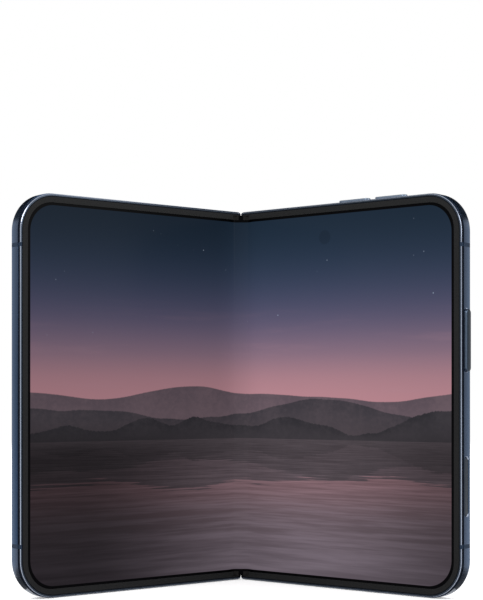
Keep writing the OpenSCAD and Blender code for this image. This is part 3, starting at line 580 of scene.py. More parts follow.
def window_mask(
    graph: Graph, across: Socket, rise: Socket, half_width: float, half_height: float, corner: float
) -> Socket:
    """Masks a rectangle with rounded corners.

    Args:
        graph: The tree.
        across: Distance from the rectangle's middle, crosswise.
        rise: Distance from its middle, upwards.
        half_width: Half of its width.
        half_height: Half of its height.
        corner: Radius of its corners.

    Returns:
        The mask, 1 inside.
    """
    size = {"Half Width": half_width, "Half Height": half_height, "Corner": corner}
    return graph.group(rounded_window(), {"X": across, "Y": rise} | size).outputs["Mask"]


# ------------------------------------------------------------------ picture


@dataclass(frozen=True)
class HillRange:
    """One range of hills in the display's picture."""

    level: float
    height: float
    scale: float
    seed: float
    trees: float
    colour: Colour
    mist: Colour


@dataclass(frozen=True)
class DuskLake:
    """The display's picture: rounded hills at dusk, mirrored in a lake with fine ripples."""

    shore: float = 0.385
    ranges: tuple[HillRange, ...] = (
        HillRange(0.505, 0.085, 1.15, 3.1, 0.0012, (0.070, 0.052, 0.064), (0.125, 0.086, 0.100)),
        HillRange(0.468, 0.085, 1.7, 8.4, 0.0028, (0.030, 0.027, 0.033), (0.066, 0.052, 0.060)),
        HillRange(0.432, 0.075, 2.6, 5.7, 0.0060, (0.0185, 0.0175, 0.0210), (0.046, 0.040, 0.046)),
    )
    sky: tuple[tuple[float, Colour], ...] = (
        (0.46, (0.345, 0.168, 0.190)),
        (0.545, (0.285, 0.148, 0.172)),
        (0.61, (0.165, 0.108, 0.146)),
        (0.70, (0.070, 0.066, 0.118)),
        (0.80, (0.030, 0.044, 0.082)),
        (0.90, (0.0150, 0.0290, 0.0520)),
        (1.00, (0.0095, 0.0200, 0.0350)),
    )
    wisp: Colour = (0.30, 0.17, 0.20)
    deep: Colour = (0.095, 0.074, 0.084)
    star: Colour = (0.30, 0.36, 0.46)

    def sky_colour(self, graph: Graph, along: Socket, up: Socket) -> Socket:
        """Paints the sky from the horizon up, with thin cloud low down and faint stars high up.

        Args:
            graph: The tree.
            along: Place in the picture as a vector.
            up: Height, 0 at the foot of the picture and 1 at its top.

        Returns:
            The colour.
        """
        ramp = graph.node("ValToRGB", {0: up})
        ramp.color_ramp.interpolation = "B_SPLINE"
        elements = ramp.color_ramp.elements
        for element, (stop, colour) in zip(elements, (self.sky[0], self.sky[-1])):
            element.position, element.color = stop, (*colour, 1)
        for stop, colour in self.sky[1:-1]:
            elements.new(stop).color = (*colour, 1)
        wisps = graph.noise(graph.scaled(along, (1.2, 15.0, 1.0), (4.0, 0.0, 0.0)), 1.0, 4.0, 0.55)
        veil = graph.between(wisps, 0.52, 0.75, 0.0, 0.30)
        low = graph.between(up, 0.52, 0.80, 1.0, 0.0)
        sky = graph.mix(graph.math("MULTIPLY", veil, low), ramp.outputs[0], self.wisp)
        cells = graph.node("TexVoronoi", {"Vector": graph.scaled(along, (26.0, 37.5, 1.0)), "Scale": 1.0})
        spot = graph.between(cells.outputs["Distance"], 0.02, 0.09, 1.0, 0.0)
        chosen = graph.between(graph.node("SeparateColor", {0: cells.outputs["Color"]}).outputs[0], 0.72, 1.0)
        high = graph.between(up, 0.60, 0.78, 0.0, 1.0)
        stars = graph.math("MULTIPLY", graph.math("MULTIPLY", spot, chosen), high)
        return graph.mix(stars, sky, self.star)

    def seen(self, graph: Graph, across: Socket, up: Socket) -> Socket:
        """Paints sky and hills.

        Args:
            graph: The tree.
            across: Place from -1 at the left edge to 1 at the right.
            up: Height, 0 at the foot of the picture and 1 at its top.

        Returns:
            The colour.
        """
        along = graph.joined(across, up)
        colour = self.sky_colour(graph, along, up)
        mottle = graph.noise(graph.scaled(along, (46.0, 76.0, 1.0)), 1.0, 4.0, 0.62)
        valleys = graph.noise(graph.scaled(along, (9.0, 7.0, 1.0)), 1.0, 3.0, 0.5)
        relief = graph.math("MULTIPLY_ADD", mottle, 0.5, graph.math("MULTIPLY", valleys, 0.5))
        for hills in self.ranges:
            crest = graph.joined(across, hills.seed)
            swell = graph.math("SUBTRACT", graph.noise(crest, hills.scale, 1.8, 0.42), 0.5)
            trees = graph.math("SUBTRACT", graph.noise(crest, 80.0, 3.0, 0.7), 0.5)
            ridge = graph.math("MULTIPLY_ADD", swell, hills.height * 2.6, hills.level)
            ridge = graph.math("MULTIPLY_ADD", trees, hills.trees * 2, ridge)
            inside = graph.between(graph.math("SUBTRACT", ridge, up), -0.001, 0.0018)
            body = graph.mix(graph.between(relief, 0.38, 0.66, 0.0, 0.42), hills.colour, hills.mist)
            fog = graph.between(up, self.shore, graph.math("ADD", ridge, 0.01), 0.62, 0.0)
            colour = graph.mix(inside, colour, graph.mix(fog, body, hills.mist))
        return colour

    def paint(self, graph: Graph, given: dict[str, Socket]) -> dict[str, Socket]:
        """Paints the whole picture, with the lake below the shore line.

        Args:
            graph: The tree of the group.
            given: Its input sockets.

        Returns:
            The colour, by the output's name.
        """
        parts = graph.parts(given["Flat"])
        across = graph.math("DIVIDE", parts[0], LAYOUT.half_width)
        up = graph.math("DIVIDE", parts[2], LAYOUT.height)
        below = graph.math("SUBTRACT", self.shore, up)
        near = graph.math("DIVIDE", 1.0, graph.math("ADD", graph.math("MAXIMUM", below, 0.0), 0.06))
        flow = graph.joined(graph.math("MULTIPLY", across, near), near)
        chop = graph.noise(graph.scaled(flow, (0.42, 5.0, 1.0)), 1.0, 3.0, 0.6)
        fine = graph.noise(graph.scaled(flow, (1.3, 14.0, 1.0), (7.0, 2.0, 0.0)), 1.0, 3.0, 0.65)
        stir = graph.math("ADD", graph.math("SUBTRACT", chop, 0.5), graph.math("MULTIPLY", fine, 0.35))
        push = graph.math("MULTIPLY", stir, graph.between(below, 0.0, 0.25, 0.01, 0.15))
        mirrored = graph.math("ADD", graph.math("MULTIPLY_ADD", below, 0.95, self.shore), push)
        in_water = graph.between(below, -0.0006, 0.0006)
        scene = self.seen(graph, across, graph.mix_values(in_water, up, mirrored))
        shade = graph.mix(graph.between(below, 0.0, 0.25, 0.45, 0.85), scene, self.deep)
        glint = graph.between(graph.math("MULTIPLY_ADD", fine, 0.5, chop), 0.55, 1.0, 0.78, 1.30)
        colour = graph.mix(in_water, scene, graph.dimmed(shade, glint))
        # The picture is multiplied by painted reflection and shade, stepping across the hinge.
        return {"Color": graph.dimmed(colour, self.light(graph, across, up))}

    @staticmethod
    def light(graph: Graph, across: Socket, up: Socket) -> Socket:
        """Shades the picture: painted reflection brightens the sky on the right half and painted shade
        darkens it on the left half, and the lake is brightest right of the middle.

        Args:
            graph: The tree.
            across: Place from -1 at the left edge to 1 at the right.
            up: Height from 0 to 1.

        Returns:
            The brightness, about 1.
        """
        # Painted shade on the left half's sky and painted reflection on the right half's, meeting at the
        # hinge.
        dusk = graph.between(up, 0.58, 0.955, 1.0, 0.0)
        left = graph.math("MULTIPLY_ADD", dusk, 0.42, 0.60)
        right = graph.math("MULTIPLY_ADD", dusk, 0.46, 1.0)
        fade = graph.between(across, 0.3, 1.0, 1.0, 0.75)
        side = graph.math("MULTIPLY", graph.between(across, -0.15, 0.14), fade)
        sky = graph.math("MULTIPLY_ADD", graph.math("SUBTRACT", right, left), side, left)
        fade = graph.between(across, 0.4, 1.05, 1.0, 0.35)
        glow = graph.math("MULTIPLY", graph.between(across, -0.75, 0.35), fade)
        lake = graph.math("MULTIPLY_ADD", glow, graph.between(up, 0.0, 0.4, 1.35, 0.85), 0.20)
        return graph.mix_values(graph.between(up, 0.34, 0.46), lake, sky)

    def effect(self) -> bpy.types.NodeTree:
        """Finds the group that paints the picture."""
        return shared_effect("dusk_lake", {"Flat": "Vector"}, {"Color": "Color"}, self.paint)


# ------------------------------------------------------------------ finishes


@dataclass(frozen=True)
class Finish:
    """A finish in the manner of cast or moulded stuff: mottled colour over a fine grain."""

    name: str
    colour: Colour
    roughness: float = 0.4
    metallic: float = 0.0
    specular: float = 0.5
    coat: float = 0.0
    mottle: float = 0.12
    speckle: float = 0.06
    smudge: float = 0.08
    patch: float = 90.0
    grain: float = 9000.0
    depth: float = 0.004
    stretch: Point = (1.0, 1.0, 1.0)

    def material(self) -> bpy.types.Material:
        """Finds the finish's material, which is built the first time.

        Returns:
            The material.
        """
        found = bpy.data.materials.get(self.name)
        if found:
            return found
        made = bpy.data.materials.new(self.name)
        made.use_nodes = True
        graph = Graph(made.node_tree)
        shader = made.node_tree.nodes["Principled BSDF"]
        self.dress(graph, shader)
        return made

    def dress(self, graph: Graph, shader: bpy.types.Node) -> None:
        """Sets the shader's plain sockets and feeds the varying ones.

        Args:
            graph: The material's tree.
            shader: Its Principled BSDF.
        """
        shader.inputs["Metallic"].default_value = self.metallic
        shader.inputs["Specular IOR Level"].default_value = self.specular
        shader.inputs["Coat Weight"].default_value = self.coat
        shader.inputs["Coat Roughness"].default_value = 0.05
        height = self.wear(graph, shader, graph.scaled(graph.place(), self.stretch), self.tint(graph))
        self.raise_grain(graph, shader, height, self.depth)

    def tint(self, graph: Graph) -> Value:
        """Gives the colour before wear, which is even here."""
        return self.colour

    def wear(self, graph: Graph, shader: bpy.types.Node, place: Socket, colour: Value) -> Socket:
        """Feeds the shader's colour and roughness from the shared wear group.

        Args:
            graph: The material's tree.
            shader: Its Principled BSDF.
            place: Coordinates in metres.
            colour: Colour to mottle.

        Returns:
            The height of the fine grain, about 0 to 1.
        """
        values = {
            "Vector": place,
            "Color": colour,
            "Roughness": self.roughness,
            "Patch Scale": self.patch,
            "Grain Scale": self.grain,
            "Mottle": self.mottle,
            "Speckle": self.speckle,
            "Smudge": self.smudge,
        }
        worn = graph.group(surface_wear(), values).outputs
        graph.feed(shader.inputs["Base Color"], worn["Color"])
        graph.feed(shader.inputs["Roughness"], worn["Roughness"])
        return worn["Height"]

    @staticmethod
    def raise_grain(graph: Graph, shader: bpy.types.Node, height: Socket, depth: float) -> None:
        """Feeds a height to the shader's normal through a bump.

        Args:
            graph: The material's tree.
            shader: Its Principled BSDF.
            height: The height, about 0 to 1.
            depth: Depth of the relief in millimetres.
        """
        bump = graph.node("Bump", {"Height": height, "Strength": 1.0, "Distance": depth * MM})
        graph.feed(shader.inputs["Normal"], bump.outputs[0])


@dataclass(frozen=True)
class RailMetal(Finish):
    """Anodised metal with painted shade: its tone darkens across the rails, from their rear edge to the lip.
    """

    lip_shade_colour: Colour = (0.024, 0.043, 0.082)
    lip_depth: float = 1.15
    rear_depth: float = 5.0

    def tint(self, graph: Graph) -> Socket:
        """Mixes in painted shade by depth behind the front face, darkest at the lip.

        Args:
            graph: The material's tree.

        Returns:
            The colour.
        """
        parts = graph.parts(graph.place())
        slope, rise = math.sin(LAYOUT.fold), math.cos(LAYOUT.fold)
        outward = graph.math("MULTIPLY", graph.math("ABSOLUTE", parts[0]), slope)
        depth = graph.math("ADD", outward, graph.math("MULTIPLY", parts[1], rise))
        front = LAYOUT.shaft_s * slope + (LAYOUT.shaft_d + LAYOUT.centre_y) * rise - LAYOUT.shaft_d
        share = graph.between(depth, (front + self.lip_depth) * MM, (front + self.rear_depth) * MM)
        return graph.mix(share, self.lip_shade_colour, self.colour)


@dataclass(frozen=True)
class ClearGlass(Finish):
    """Clear or tinted glass with a trace of smudge."""

    ior: float = 1.33

    def dress(self, graph: Graph, shader: bpy.types.Node) -> None:
        """Sets the glass, and lets only its roughness vary.

        Args:
            graph: The material's tree.
            shader: Its Principled BSDF.
        """
        shader.inputs["Transmission Weight"].default_value = 1.0
        shader.inputs["IOR"].default_value = self.ior
        self.wear(graph, shader, graph.place(), self.colour)


@dataclass(frozen=True)
class LitDisplay(Finish):
    """The inner display: black glass that shows the picture inside its border."""

    camera_s: float = 34.5
    camera_drop: float = 10.6
    camera_r: float = 2.45
    side_border: float = 3.75
    end_border: float = 3.6
    corner: float = 8.2
    trim: Colour = (0.0115, 0.0112, 0.011)
    trim_from: float = 0.85
    trim_to: float = 4.3
    trim_blur: float = 0.1
    spot_colour: Colour = (0.004, 0.006, 0.010)
    spot_strength: float = 0.22
    spot_blur: float = 0.5

    def dress(self, graph: Graph, shader: bpy.types.Node) -> None:
        """Feeds the picture to the shader's emission and the border to its base colour.

        Args:
            graph: The material's tree.
            shader: Its Principled BSDF.
        """
        shader.inputs["Specular IOR Level"].default_value = self.specular
        flat = graph.flat_place()
        parts = graph.parts(flat)
        rise = graph.math("SUBTRACT", parts[2], LAYOUT.height / 2)
        window = self.window(graph, parts[0], rise, self.side_border, self.end_border)
        picture = graph.group(DuskLake().effect(), {"Flat": flat}).outputs["Color"]
        picture = graph.mix(self.camera_spot(graph, parts[0], rise), picture, self.spot_colour)
        graph.feed(shader.inputs["Emission Color"], graph.mix(window, (0.0, 0.0, 0.0), picture))
        shader.inputs["Emission Strength"].default_value = 1.0
        self.wear(graph, shader, graph.place(), self.border_colour(graph, parts[0], rise))

    def window(self, graph: Graph, across: Socket, rise: Socket, side: float, end: float) -> Socket:
        """Masks what lies inside a border.

        Args:
            graph: The material's tree.
            across: Distance from the hinge line, in millimetres.
            rise: Height above the display's middle, in millimetres.
            side: Width of the border at the sides.
            end: Width of the border at the top and the bottom.

        Returns:
            The mask, 1 inside.
        """
        half_width, half_height = LAYOUT.half_width - side, LAYOUT.height / 2 - end
        return window_mask(graph, across, rise, half_width, half_height, self.corner)

    def border_colour(self, graph: Graph, across: Socket, rise: Socket) -> Socket:
        """Colours the border: black, with soft trim where the bezels leave off at the hinge.

        Args:
            graph: The material's tree.
            across: Distance from the hinge line, in millimetres.
            rise: Height above the display's middle, in millimetres.

        Returns:
            The colour.
        """
        away = graph.math("ABSOLUTE", across)
        near = graph.between(away, self.trim_from - self.trim_blur, self.trim_from + self.trim_blur)
        far = graph.between(away, self.trim_to, self.trim_to + self.trim_blur, 1.0, 0.0)
        near = graph.math("MULTIPLY", near, far)
        edge = LAYOUT.rim + LAYOUT.bezel
        beyond = graph.math("SUBTRACT", 1.0, self.window(graph, across, rise, edge, edge))
        return graph.mix(graph.math("MULTIPLY", near, beyond), self.colour, self.trim)

    def camera_spot(self, graph: Graph, across: Socket, rise: Socket) -> Socket:
        """Masks the faint round spot over the camera under the display.

        Args:
            graph: The material's tree.
            across: Distance from the hinge line, in millimetres.
            rise: Height above the display's middle, in millimetres.

        Returns:
            The mask.
        """
        aside = graph.math("SUBTRACT", across, self.camera_s)
        above = graph.math("SUBTRACT", rise, LAYOUT.height / 2 - self.camera_drop)
        squares = [graph.math("POWER", value, 2.0) for value in (aside, above)]
        away = graph.math("SQRT", graph.math("ADD", *squares))
        return graph.between(away, self.camera_r - self.spot_blur, self.camera_r, self.spot_strength, 0.0)


@dataclass(frozen=True)
class DarkPanel(Finish):
    """The cover display, switched off: a faintly blue panel inside a black border."""

    border: float = 3.0
    end_border: float = 4.5
    start_s: float = 4.0
    middle_shift: float = -1.0
    border_colour: Colour = (0.002, 0.002, 0.002)

    def dress(self, graph: Graph, shader: bpy.types.Node) -> None:
        """Feeds the panel's two blacks to the base colour.

        Args:
            graph: The material's tree.
            shader: Its Principled BSDF.
        """
        parts = graph.parts(graph.flat_place())
        half_width, half_height = (LAYOUT.half_width - self.start_s) / 2, LAYOUT.height / 2
        across = graph.math("SUBTRACT", parts[0], self.start_s + half_width + self.middle_shift)
        rise = graph.math("SUBTRACT", parts[2], half_height)
        inner = (half_width - self.border, half_height - self.end_border, LAYOUT.corner - self.border)
        window = window_mask(graph, across, rise, *inner)
        self.wear(graph, shader, graph.place(), graph.mix(window, self.border_colour, self.colour))


@dataclass(frozen=True)
class PrintedBoard(Finish):
    """Solder mask over copper tracks."""

    track: Colour = (0.045, 0.16, 0.085)
    cells_per_metre: float = 420.0
    ring_rate: float = 34.0
    track_depth: float = 0.02

    def dress(self, graph: Graph, shader: bpy.types.Node) -> None:
        """Draws right-angled tracks and pads from two cell patterns.

        Args:
            graph: The material's tree.
            shader: Its Principled BSDF.
        """
        place = graph.place()
        inputs = {"Vector": place, "Scale": self.cells_per_metre}
        cells = graph.node("TexVoronoi", inputs, distance="CHEBYCHEV", feature="F1")
        rings = graph.math("SINE", graph.math("MULTIPLY", cells.outputs["Distance"], self.ring_rate))
        tracks = graph.between(rings, 0.55, 0.75)
        self.wear(graph, shader, place, graph.mix(tracks, self.colour, self.track))
        self.raise_grain(graph, shader, tracks, self.track_depth)


@dataclass(frozen=True)
class WoundCoil(Finish):
    """Enamelled wire wound in flat rings about an axis on the right half."""

    centre_s: float = 50.0
    centre_z: float = 50.0
    pitch: float = 0.5
    gap_colour: Colour = (0.08, 0.025, 0.01)
    wire_depth: float = 0.08

    def dress(self, graph: Graph, shader: bpy.types.Node) -> None:
        """Draws the turns of wire as rings round the coil's axis.

        Args:
            graph: The material's tree.
            shader: Its Principled BSDF.
        """
        shader.inputs["Metallic"].default_value = self.metallic
        centre = LAYOUT.point(Side.RIGHT, self.centre_s, LAYOUT.inner_back, self.centre_z)
        place = graph.place()
        away = graph.node("VectorMath", {0: place, 1: tuple(centre)}, operation="DISTANCE").outputs["Value"]
        wave = graph.math("SINE", graph.math("MULTIPLY", away, math.tau / (self.pitch * MM)))
        turns = graph.between(wave, -1.0, 0.4)
        self.wear(graph, shader, place, graph.mix(turns, self.gap_colour, self.colour))
        self.raise_grain(graph, shader, turns, self.wire_depth)


@dataclass(frozen=True)
class WovenMesh(Finish):
    """Fine wire mesh behind the sound holes."""

    wave_rate: float = 52000.0
    gap_colour: Colour = (0.004, 0.004, 0.004)
    wire_depth: float = 0.02

    def dress(self, graph: Graph, shader: bpy.types.Node) -> None:
        """Draws crossing wires and the dark gaps between them.

        Args:
            graph: The material's tree.
            shader: Its Principled BSDF.
        """
        shader.inputs["Metallic"].default_value = self.metallic
        place = graph.place()
        parts = graph.parts(place)
        waves = [graph.math("SINE", graph.math("MULTIPLY", parts[axis], self.wave_rate)) for axis in (0, 1)]
        wires = graph.between(graph.math("MAXIMUM", *waves), 0.2, 0.7)
        self.wear(graph, shader, place, graph.mix(wires, self.gap_colour, self.colour))
        self.raise_grain(graph, shader, wires, self.wire_depth)


RAIL_BLUE = Finish("anodised_blue", (0.040, 0.070, 0.132), 0.26, 1.0, mottle=0.05, speckle=0.06, depth=0.0004)
# The rails' colour carries painted shade that darkens toward the lip.
RAIL_METAL = RailMetal(
    "anodised_rail_painted_shade", (0.062, 0.101, 0.172), 0.26, 1.0, mottle=0.05, speckle=0.06, depth=0.0004
)
EDGE_SILVER = Finish(
    "bright_chamfer", (0.34, 0.385, 0.48), 0.20, 1.0, mottle=0.05, speckle=0.03, depth=0.0002
)
RIM_GREY = Finish("rim_front", (0.036, 0.046, 0.062), 0.26, 1.0, mottle=0.05, speckle=0.04, depth=0.0002)
# Near black painted shade for the gap beside the bezels and for the lips' walls.
GROOVE_SHADE = Finish("groove_painted_shade", (0.004, 0.006, 0.012), 0.6, specular=0.1)
BAND_BLUE = Finish("antenna_plastic", (0.016, 0.027, 0.048), 0.5, specular=0.05)
BEZEL_BLACK = Finish("bezel_rubber", (0.0080, 0.0082, 0.0086), 0.55, specular=0.12, mottle=0.1, grain=14000.0)
KEY_BLUE = Finish("key_blue", (0.016, 0.025, 0.038), 0.34, 1.0, mottle=0.05, speckle=0.10, depth=0.002)
# The side key's walls: a lighter copy of the key's metal, as painted light.
KEY_WALL_LIT = Finish("key_wall_painted_light", (0.072, 0.098, 0.140), 0.34, 1.0, mottle=0.05, speckle=0.10, depth=0.001)
# The volume keys: a lighter copy of the keys' metal, as painted light.
VOLUME_KEY_LIT = Finish(
    "volume_key_satin_painted_light", (0.145, 0.18, 0.235), 0.34, 1.0, mottle=0.05, speckle=0.08, depth=0.002
)
TOUCH_KEY = Finish("touch_key_glaze", (0.012, 0.019, 0.030), 0.35, specular=0.15, mottle=0.05, depth=0.001)
SPINE_BLUE = Finish("spine_satin", (0.040, 0.070, 0.132), 0.28, 1.0, mottle=0.04, speckle=0.08, depth=0.002)
REAR_GLASS = Finish(
    "painted_rear_glass", (0.026, 0.042, 0.078), 0.34, specular=0.25, coat=0.15, mottle=0.08, smudge=0.1
)
ISLAND_BLUE = Finish("island_satin", (0.042, 0.066, 0.114), 0.30, 1.0, mottle=0.05, speckle=0.08, depth=0.002)
RING_POLISH = Finish(
    "lens_ring_polish", (0.30, 0.35, 0.46), 0.14, 1.0, mottle=0.04, speckle=0.03, depth=0.001
)
LENS_BLACK = Finish("lens_barrel_black", (0.007, 0.007, 0.008), 0.42, specular=0.25, depth=0.0005)
COATED_LENS = Finish(
    "coated_lens", (0.010, 0.016, 0.060), 0.06, specular=0.9, mottle=0.3, smudge=0.02, depth=0.0
)
COVER_GLASS = ClearGlass(
    "cover_glass_smoked", (0.42, 0.44, 0.47), 0.02, mottle=0.01, speckle=0.0, smudge=0.02
)
LENS_GLASS = ClearGlass("lens_glass_tinted", (0.74, 0.76, 0.80), 0.01, mottle=0.01, speckle=0.0, smudge=0.015)
FLASH_RESIN = Finish("flash_resin", (0.72, 0.68, 0.46), 0.18, coat=0.6, mottle=0.1, patch=900.0)
DISPLAY_LIT = LitDisplay(
    "inner_display_lit", (0.0012, 0.0012, 0.0016), 0.18, specular=0.02, mottle=0.2, smudge=0.04
)
DISPLAY_EDGE = Finish("display_edge", (0.006, 0.006, 0.007), 0.4, specular=0.1)
COVER_PANEL = DarkPanel(
    "cover_display_off", (0.0040, 0.0050, 0.0080), 0.25, specular=0.0, mottle=0.1, speckle=0.02
)
PLATE_STEEL = Finish("plate_steel", (0.46, 0.48, 0.51), 0.34, 1.0, stretch=(1.0, 1.0, 0.06), depth=0.003)
BRACKET_STEEL = Finish("bracket_steel", (0.30, 0.31, 0.34), 0.42, 1.0, mottle=0.15, depth=0.004)
ARM_STEEL = Finish("arm_steel", (0.44, 0.46, 0.50), 0.30, 1.0, stretch=(1.0, 1.0, 0.1), depth=0.003)
SHAFT_STEEL = Finish("shaft_steel", (0.52, 0.54, 0.58), 0.16, 1.0, stretch=(1.0, 1.0, 8.0), depth=0.001)
GEAR_BRASS = Finish("gear_brass", (0.43, 0.27, 0.09), 0.30, 1.0, mottle=0.2, depth=0.002)
WASHER_BRONZE = Finish("washer_bronze", (0.30, 0.19, 0.08), 0.34, 1.0, mottle=0.25, depth=0.002)
SCREW_STEEL = Finish("screw_steel", (0.24, 0.25, 0.28), 0.32, 1.0, mottle=0.15, depth=0.002)
RIBBON_AMBER = Finish(
    "ribbon_amber", (0.22, 0.085, 0.018), 0.34, coat=0.3, stretch=(1.0, 1.0, 12.0), speckle=0.5
)
CELL_WRAP = Finish("cell_wrap", (0.045, 0.047, 0.052), 0.5, coat=0.1, mottle=0.25, patch=60.0, depth=0.012)
BOARD_GREEN = PrintedBoard("board_green", (0.010, 0.062, 0.034), 0.4, coat=0.3)
SHIELD_TIN = Finish("shield_tin", (0.42, 0.42, 0.41), 0.36, 1.0, mottle=0.12, stretch=(6.0, 6.0, 0.6))
MAGNET_NICKEL = Finish("magnet_nickel", (0.40, 0.39, 0.37), 0.26, 1.0, mottle=0.12)
COIL_COPPER = WoundCoil("coil_copper", (0.50, 0.19, 0.07), 0.32, 0.8)
PORT_STEEL = Finish("port_steel", (0.36, 0.37, 0.39), 0.28, 1.0, mottle=0.1, depth=0.002)
CONTACT_GOLD = Finish("contact_gold", (0.65, 0.42, 0.14), 0.22, 1.0, mottle=0.1, depth=0.001)
PORT_BLACK = Finish("port_black", (0.008, 0.008, 0.009), 0.5, specular=0.3)
SPEAKER_BLACK = Finish("speaker_black", (0.010, 0.010, 0.011), 0.6, mottle=0.3, depth=0.01)
MESH_WIRE = WovenMesh("sound_mesh", (0.05, 0.055, 0.065), 0.45, 0.8)
HAPTIC_STEEL = Finish("haptic_steel", (0.36, 0.36, 0.37), 0.38, 1.0, mottle=0.2, stretch=(1.0, 1.0, 0.2))
HOUSING_BLACK = Finish("housing_black", (0.012, 0.012, 0.014), 0.45, mottle=0.3, depth=0.006)
DOME_GOLD = Finish("key_strip_amber", (0.30, 0.15, 0.035), 0.36, coat=0.3, mottle=0.3, speckle=0.3)


@dataclass(frozen=True)
class Dressing:
    """What a plain CAD node is dressed in."""

    node: str
    finish: Finish

    def apply(self) -> bpy.types.Object:
        """Gives the finish to every material slot of the node.

        Returns:
            The node's object.
        """
        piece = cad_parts[self.node]
        if not piece.material_slots:
            piece.data.materials.append(None)
        for slot in piece.material_slots:
            slot.material = self.finish.material()
        return piece


def dress(piece: bpy.types.Object, *finishes: Finish) -> None:
    """Gives a new piece its materials, in the order of its faces' indices."""
    for finish in finishes:
        piece.data.materials.append(finish.material())


def mount(piece: bpy.types.Object, body: str, nodes: Iterable[str] = ()) -> bpy.types.Object:
    """Puts a new piece on its body, and hides the nodes that it stands for.

    Args:
        piece: The piece.
        body: CAD body that it rides on.
        nodes: CAD nodes that it replaces.

    Returns:
        The piece.
    """
    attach(piece, body)
    if nodes:
        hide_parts(*nodes)
    return piece


@dataclass
class RefinedCopy:
    """A CAD node's own shape with joined faces, smooth shading and soft edges."""

    node: str
    body: str
    slot: str
    finish: Finish
    edge: float = 0.05
    smooth_angle: float = 30.0

    def inner_finish(self) -> Optional[Finish]:
        """Names the finish of the faces that lie within, if they have their own."""
        return None

    def lies_within(self, corners: Sequence[Vector]) -> bool:
        """Tells whether a face, by its corners in flat millimetres, takes the inner finish."""
        return False

    def shape(self) -> bpy.types.Object:
        """Makes the copy, dressed in its finish or finishes.

        Returns:
            The piece.
        """
        bm = read_node(self.node)
        inner = self.inner_finish()
        if inner:
            side = Side.LEFT if self.body == Side.LEFT.body else Side.RIGHT
            flat = LAYOUT.matrix(side).inverted()
            for face in bm.faces:
                face.material_index = int(self.lies_within([flat @ vert.co for vert in face.verts]))
        piece = new_piece(bm, f"{self.node}_fine", self.smooth_angle)
        dress(piece, *((self.finish, inner) if inner else (self.finish,)))
        return piece

    def build(self) -> list[bpy.types.Object]:
        """Makes the copy and stands it in for its node.

        Returns:
            The piece.
        """
        piece = self.shape()
        if self.edge:
            soften(piece, self.edge)
        return [mount(piece, self.body, [self.node])]


@dataclass
class BezelRing(RefinedCopy):
    """The bezel of one half, with its foot painted near black as shade in the gap beside the rim."""

    gap_depth: float = 0.2

    def inner_finish(self) -> Finish:
        """Names the finish of the gap, a painted shade."""
        return GROOVE_SHADE

    def lies_within(self, corners: Sequence[Vector]) -> bool:
        """Tells whether a face lies down in the gap."""
        return min(corner.y for corner in corners) > self.gap_depth


@dataclass
class PortShell(RefinedCopy):
    """The port's metal shell round its black tongue."""

    tongue_s: float = 42.0
    tongue_half_w: float = 3.4
    tongue_half_t: float = 0.4

    def inner_finish(self) -> Finish:
        """Names the finish of the tongue."""
        return PORT_BLACK

    def lies_within(self, corners: Sequence[Vector]) -> bool:
        """Tells whether a face is the tongue's.

        Args:
            corners: The face's corners in flat millimetres.

        Returns:
            True on the tongue.
        """
        aside = max(abs(corner.x - self.tongue_s) for corner in corners)
        above = max(abs(corner.y - LAYOUT.rail_mid) for corner in corners)
        return aside < self.tongue_half_w and above < self.tongue_half_t


# ------------------------------------------------------------------ studio


@dataclass
class SoftLamp:
    """A square area lamp that faces a point."""

    name: str
    place: Point
    size: float
    power: float
    mirrored: bool = True
    aim: Point = (0.0, 0.0, 0.06)

    def build(self) -> None:
        """Adds the lamp, which metal may mirror or not."""
        data = bpy.data.lights.new(self.name, "AREA")
        data.shape, data.size, data.energy = "SQUARE", self.size, self.power
        lamp = bpy.data.objects.new(self.name, data)
        lamp.location = self.place
        lamp.visible_glossy = self.mirrored
        towards = Vector(self.aim) - Vector(self.place)
        lamp.rotation_euler = towards.to_track_quat("-Z", "Y").to_euler()
        bpy.context.collection.objects.link(lamp)


@dataclass
class DarkCard:
    """A dark card that only polished metal mirrors: it hides, lights and shades nothing."""

    name: str
    centre: Point
    width: float
    depth: float
    tone: float = 0.0

    def build(self) -> bpy.types.Object:
        """Adds the card.

        Returns:
            The card.
        """
        bm = bmesh.new()
        bmesh.ops.create_grid(bm, x_segments=1, y_segments=1, size=0.5)
        shape = Matrix.Translation(self.centre) @ Matrix.Diagonal((self.width, self.depth, 1, 1))
        bmesh.ops.transform(bm, matrix=shape, verts=bm.verts)
        card = new_piece(bm, self.name)
        made = bpy.data.materials.new(self.name)
        made.use_nodes = True
        shader = made.node_tree.nodes["Principled BSDF"]
        shader.inputs["Base Color"].default_value = (0.0, 0.0, 0.0, 1.0)
        shader.inputs["Specular IOR Level"].default_value = 0.0
        shader.inputs["Emission Color"].default_value = (self.tone, self.tone, self.tone, 1.0)
        shader.inputs["Emission Strength"].default_value = 1.0
        card.data.materials.append(made)
        for ray in ("camera", "diffuse", "transmission", "shadow"):
            setattr(card, f"visible_{ray}", False)
        return card


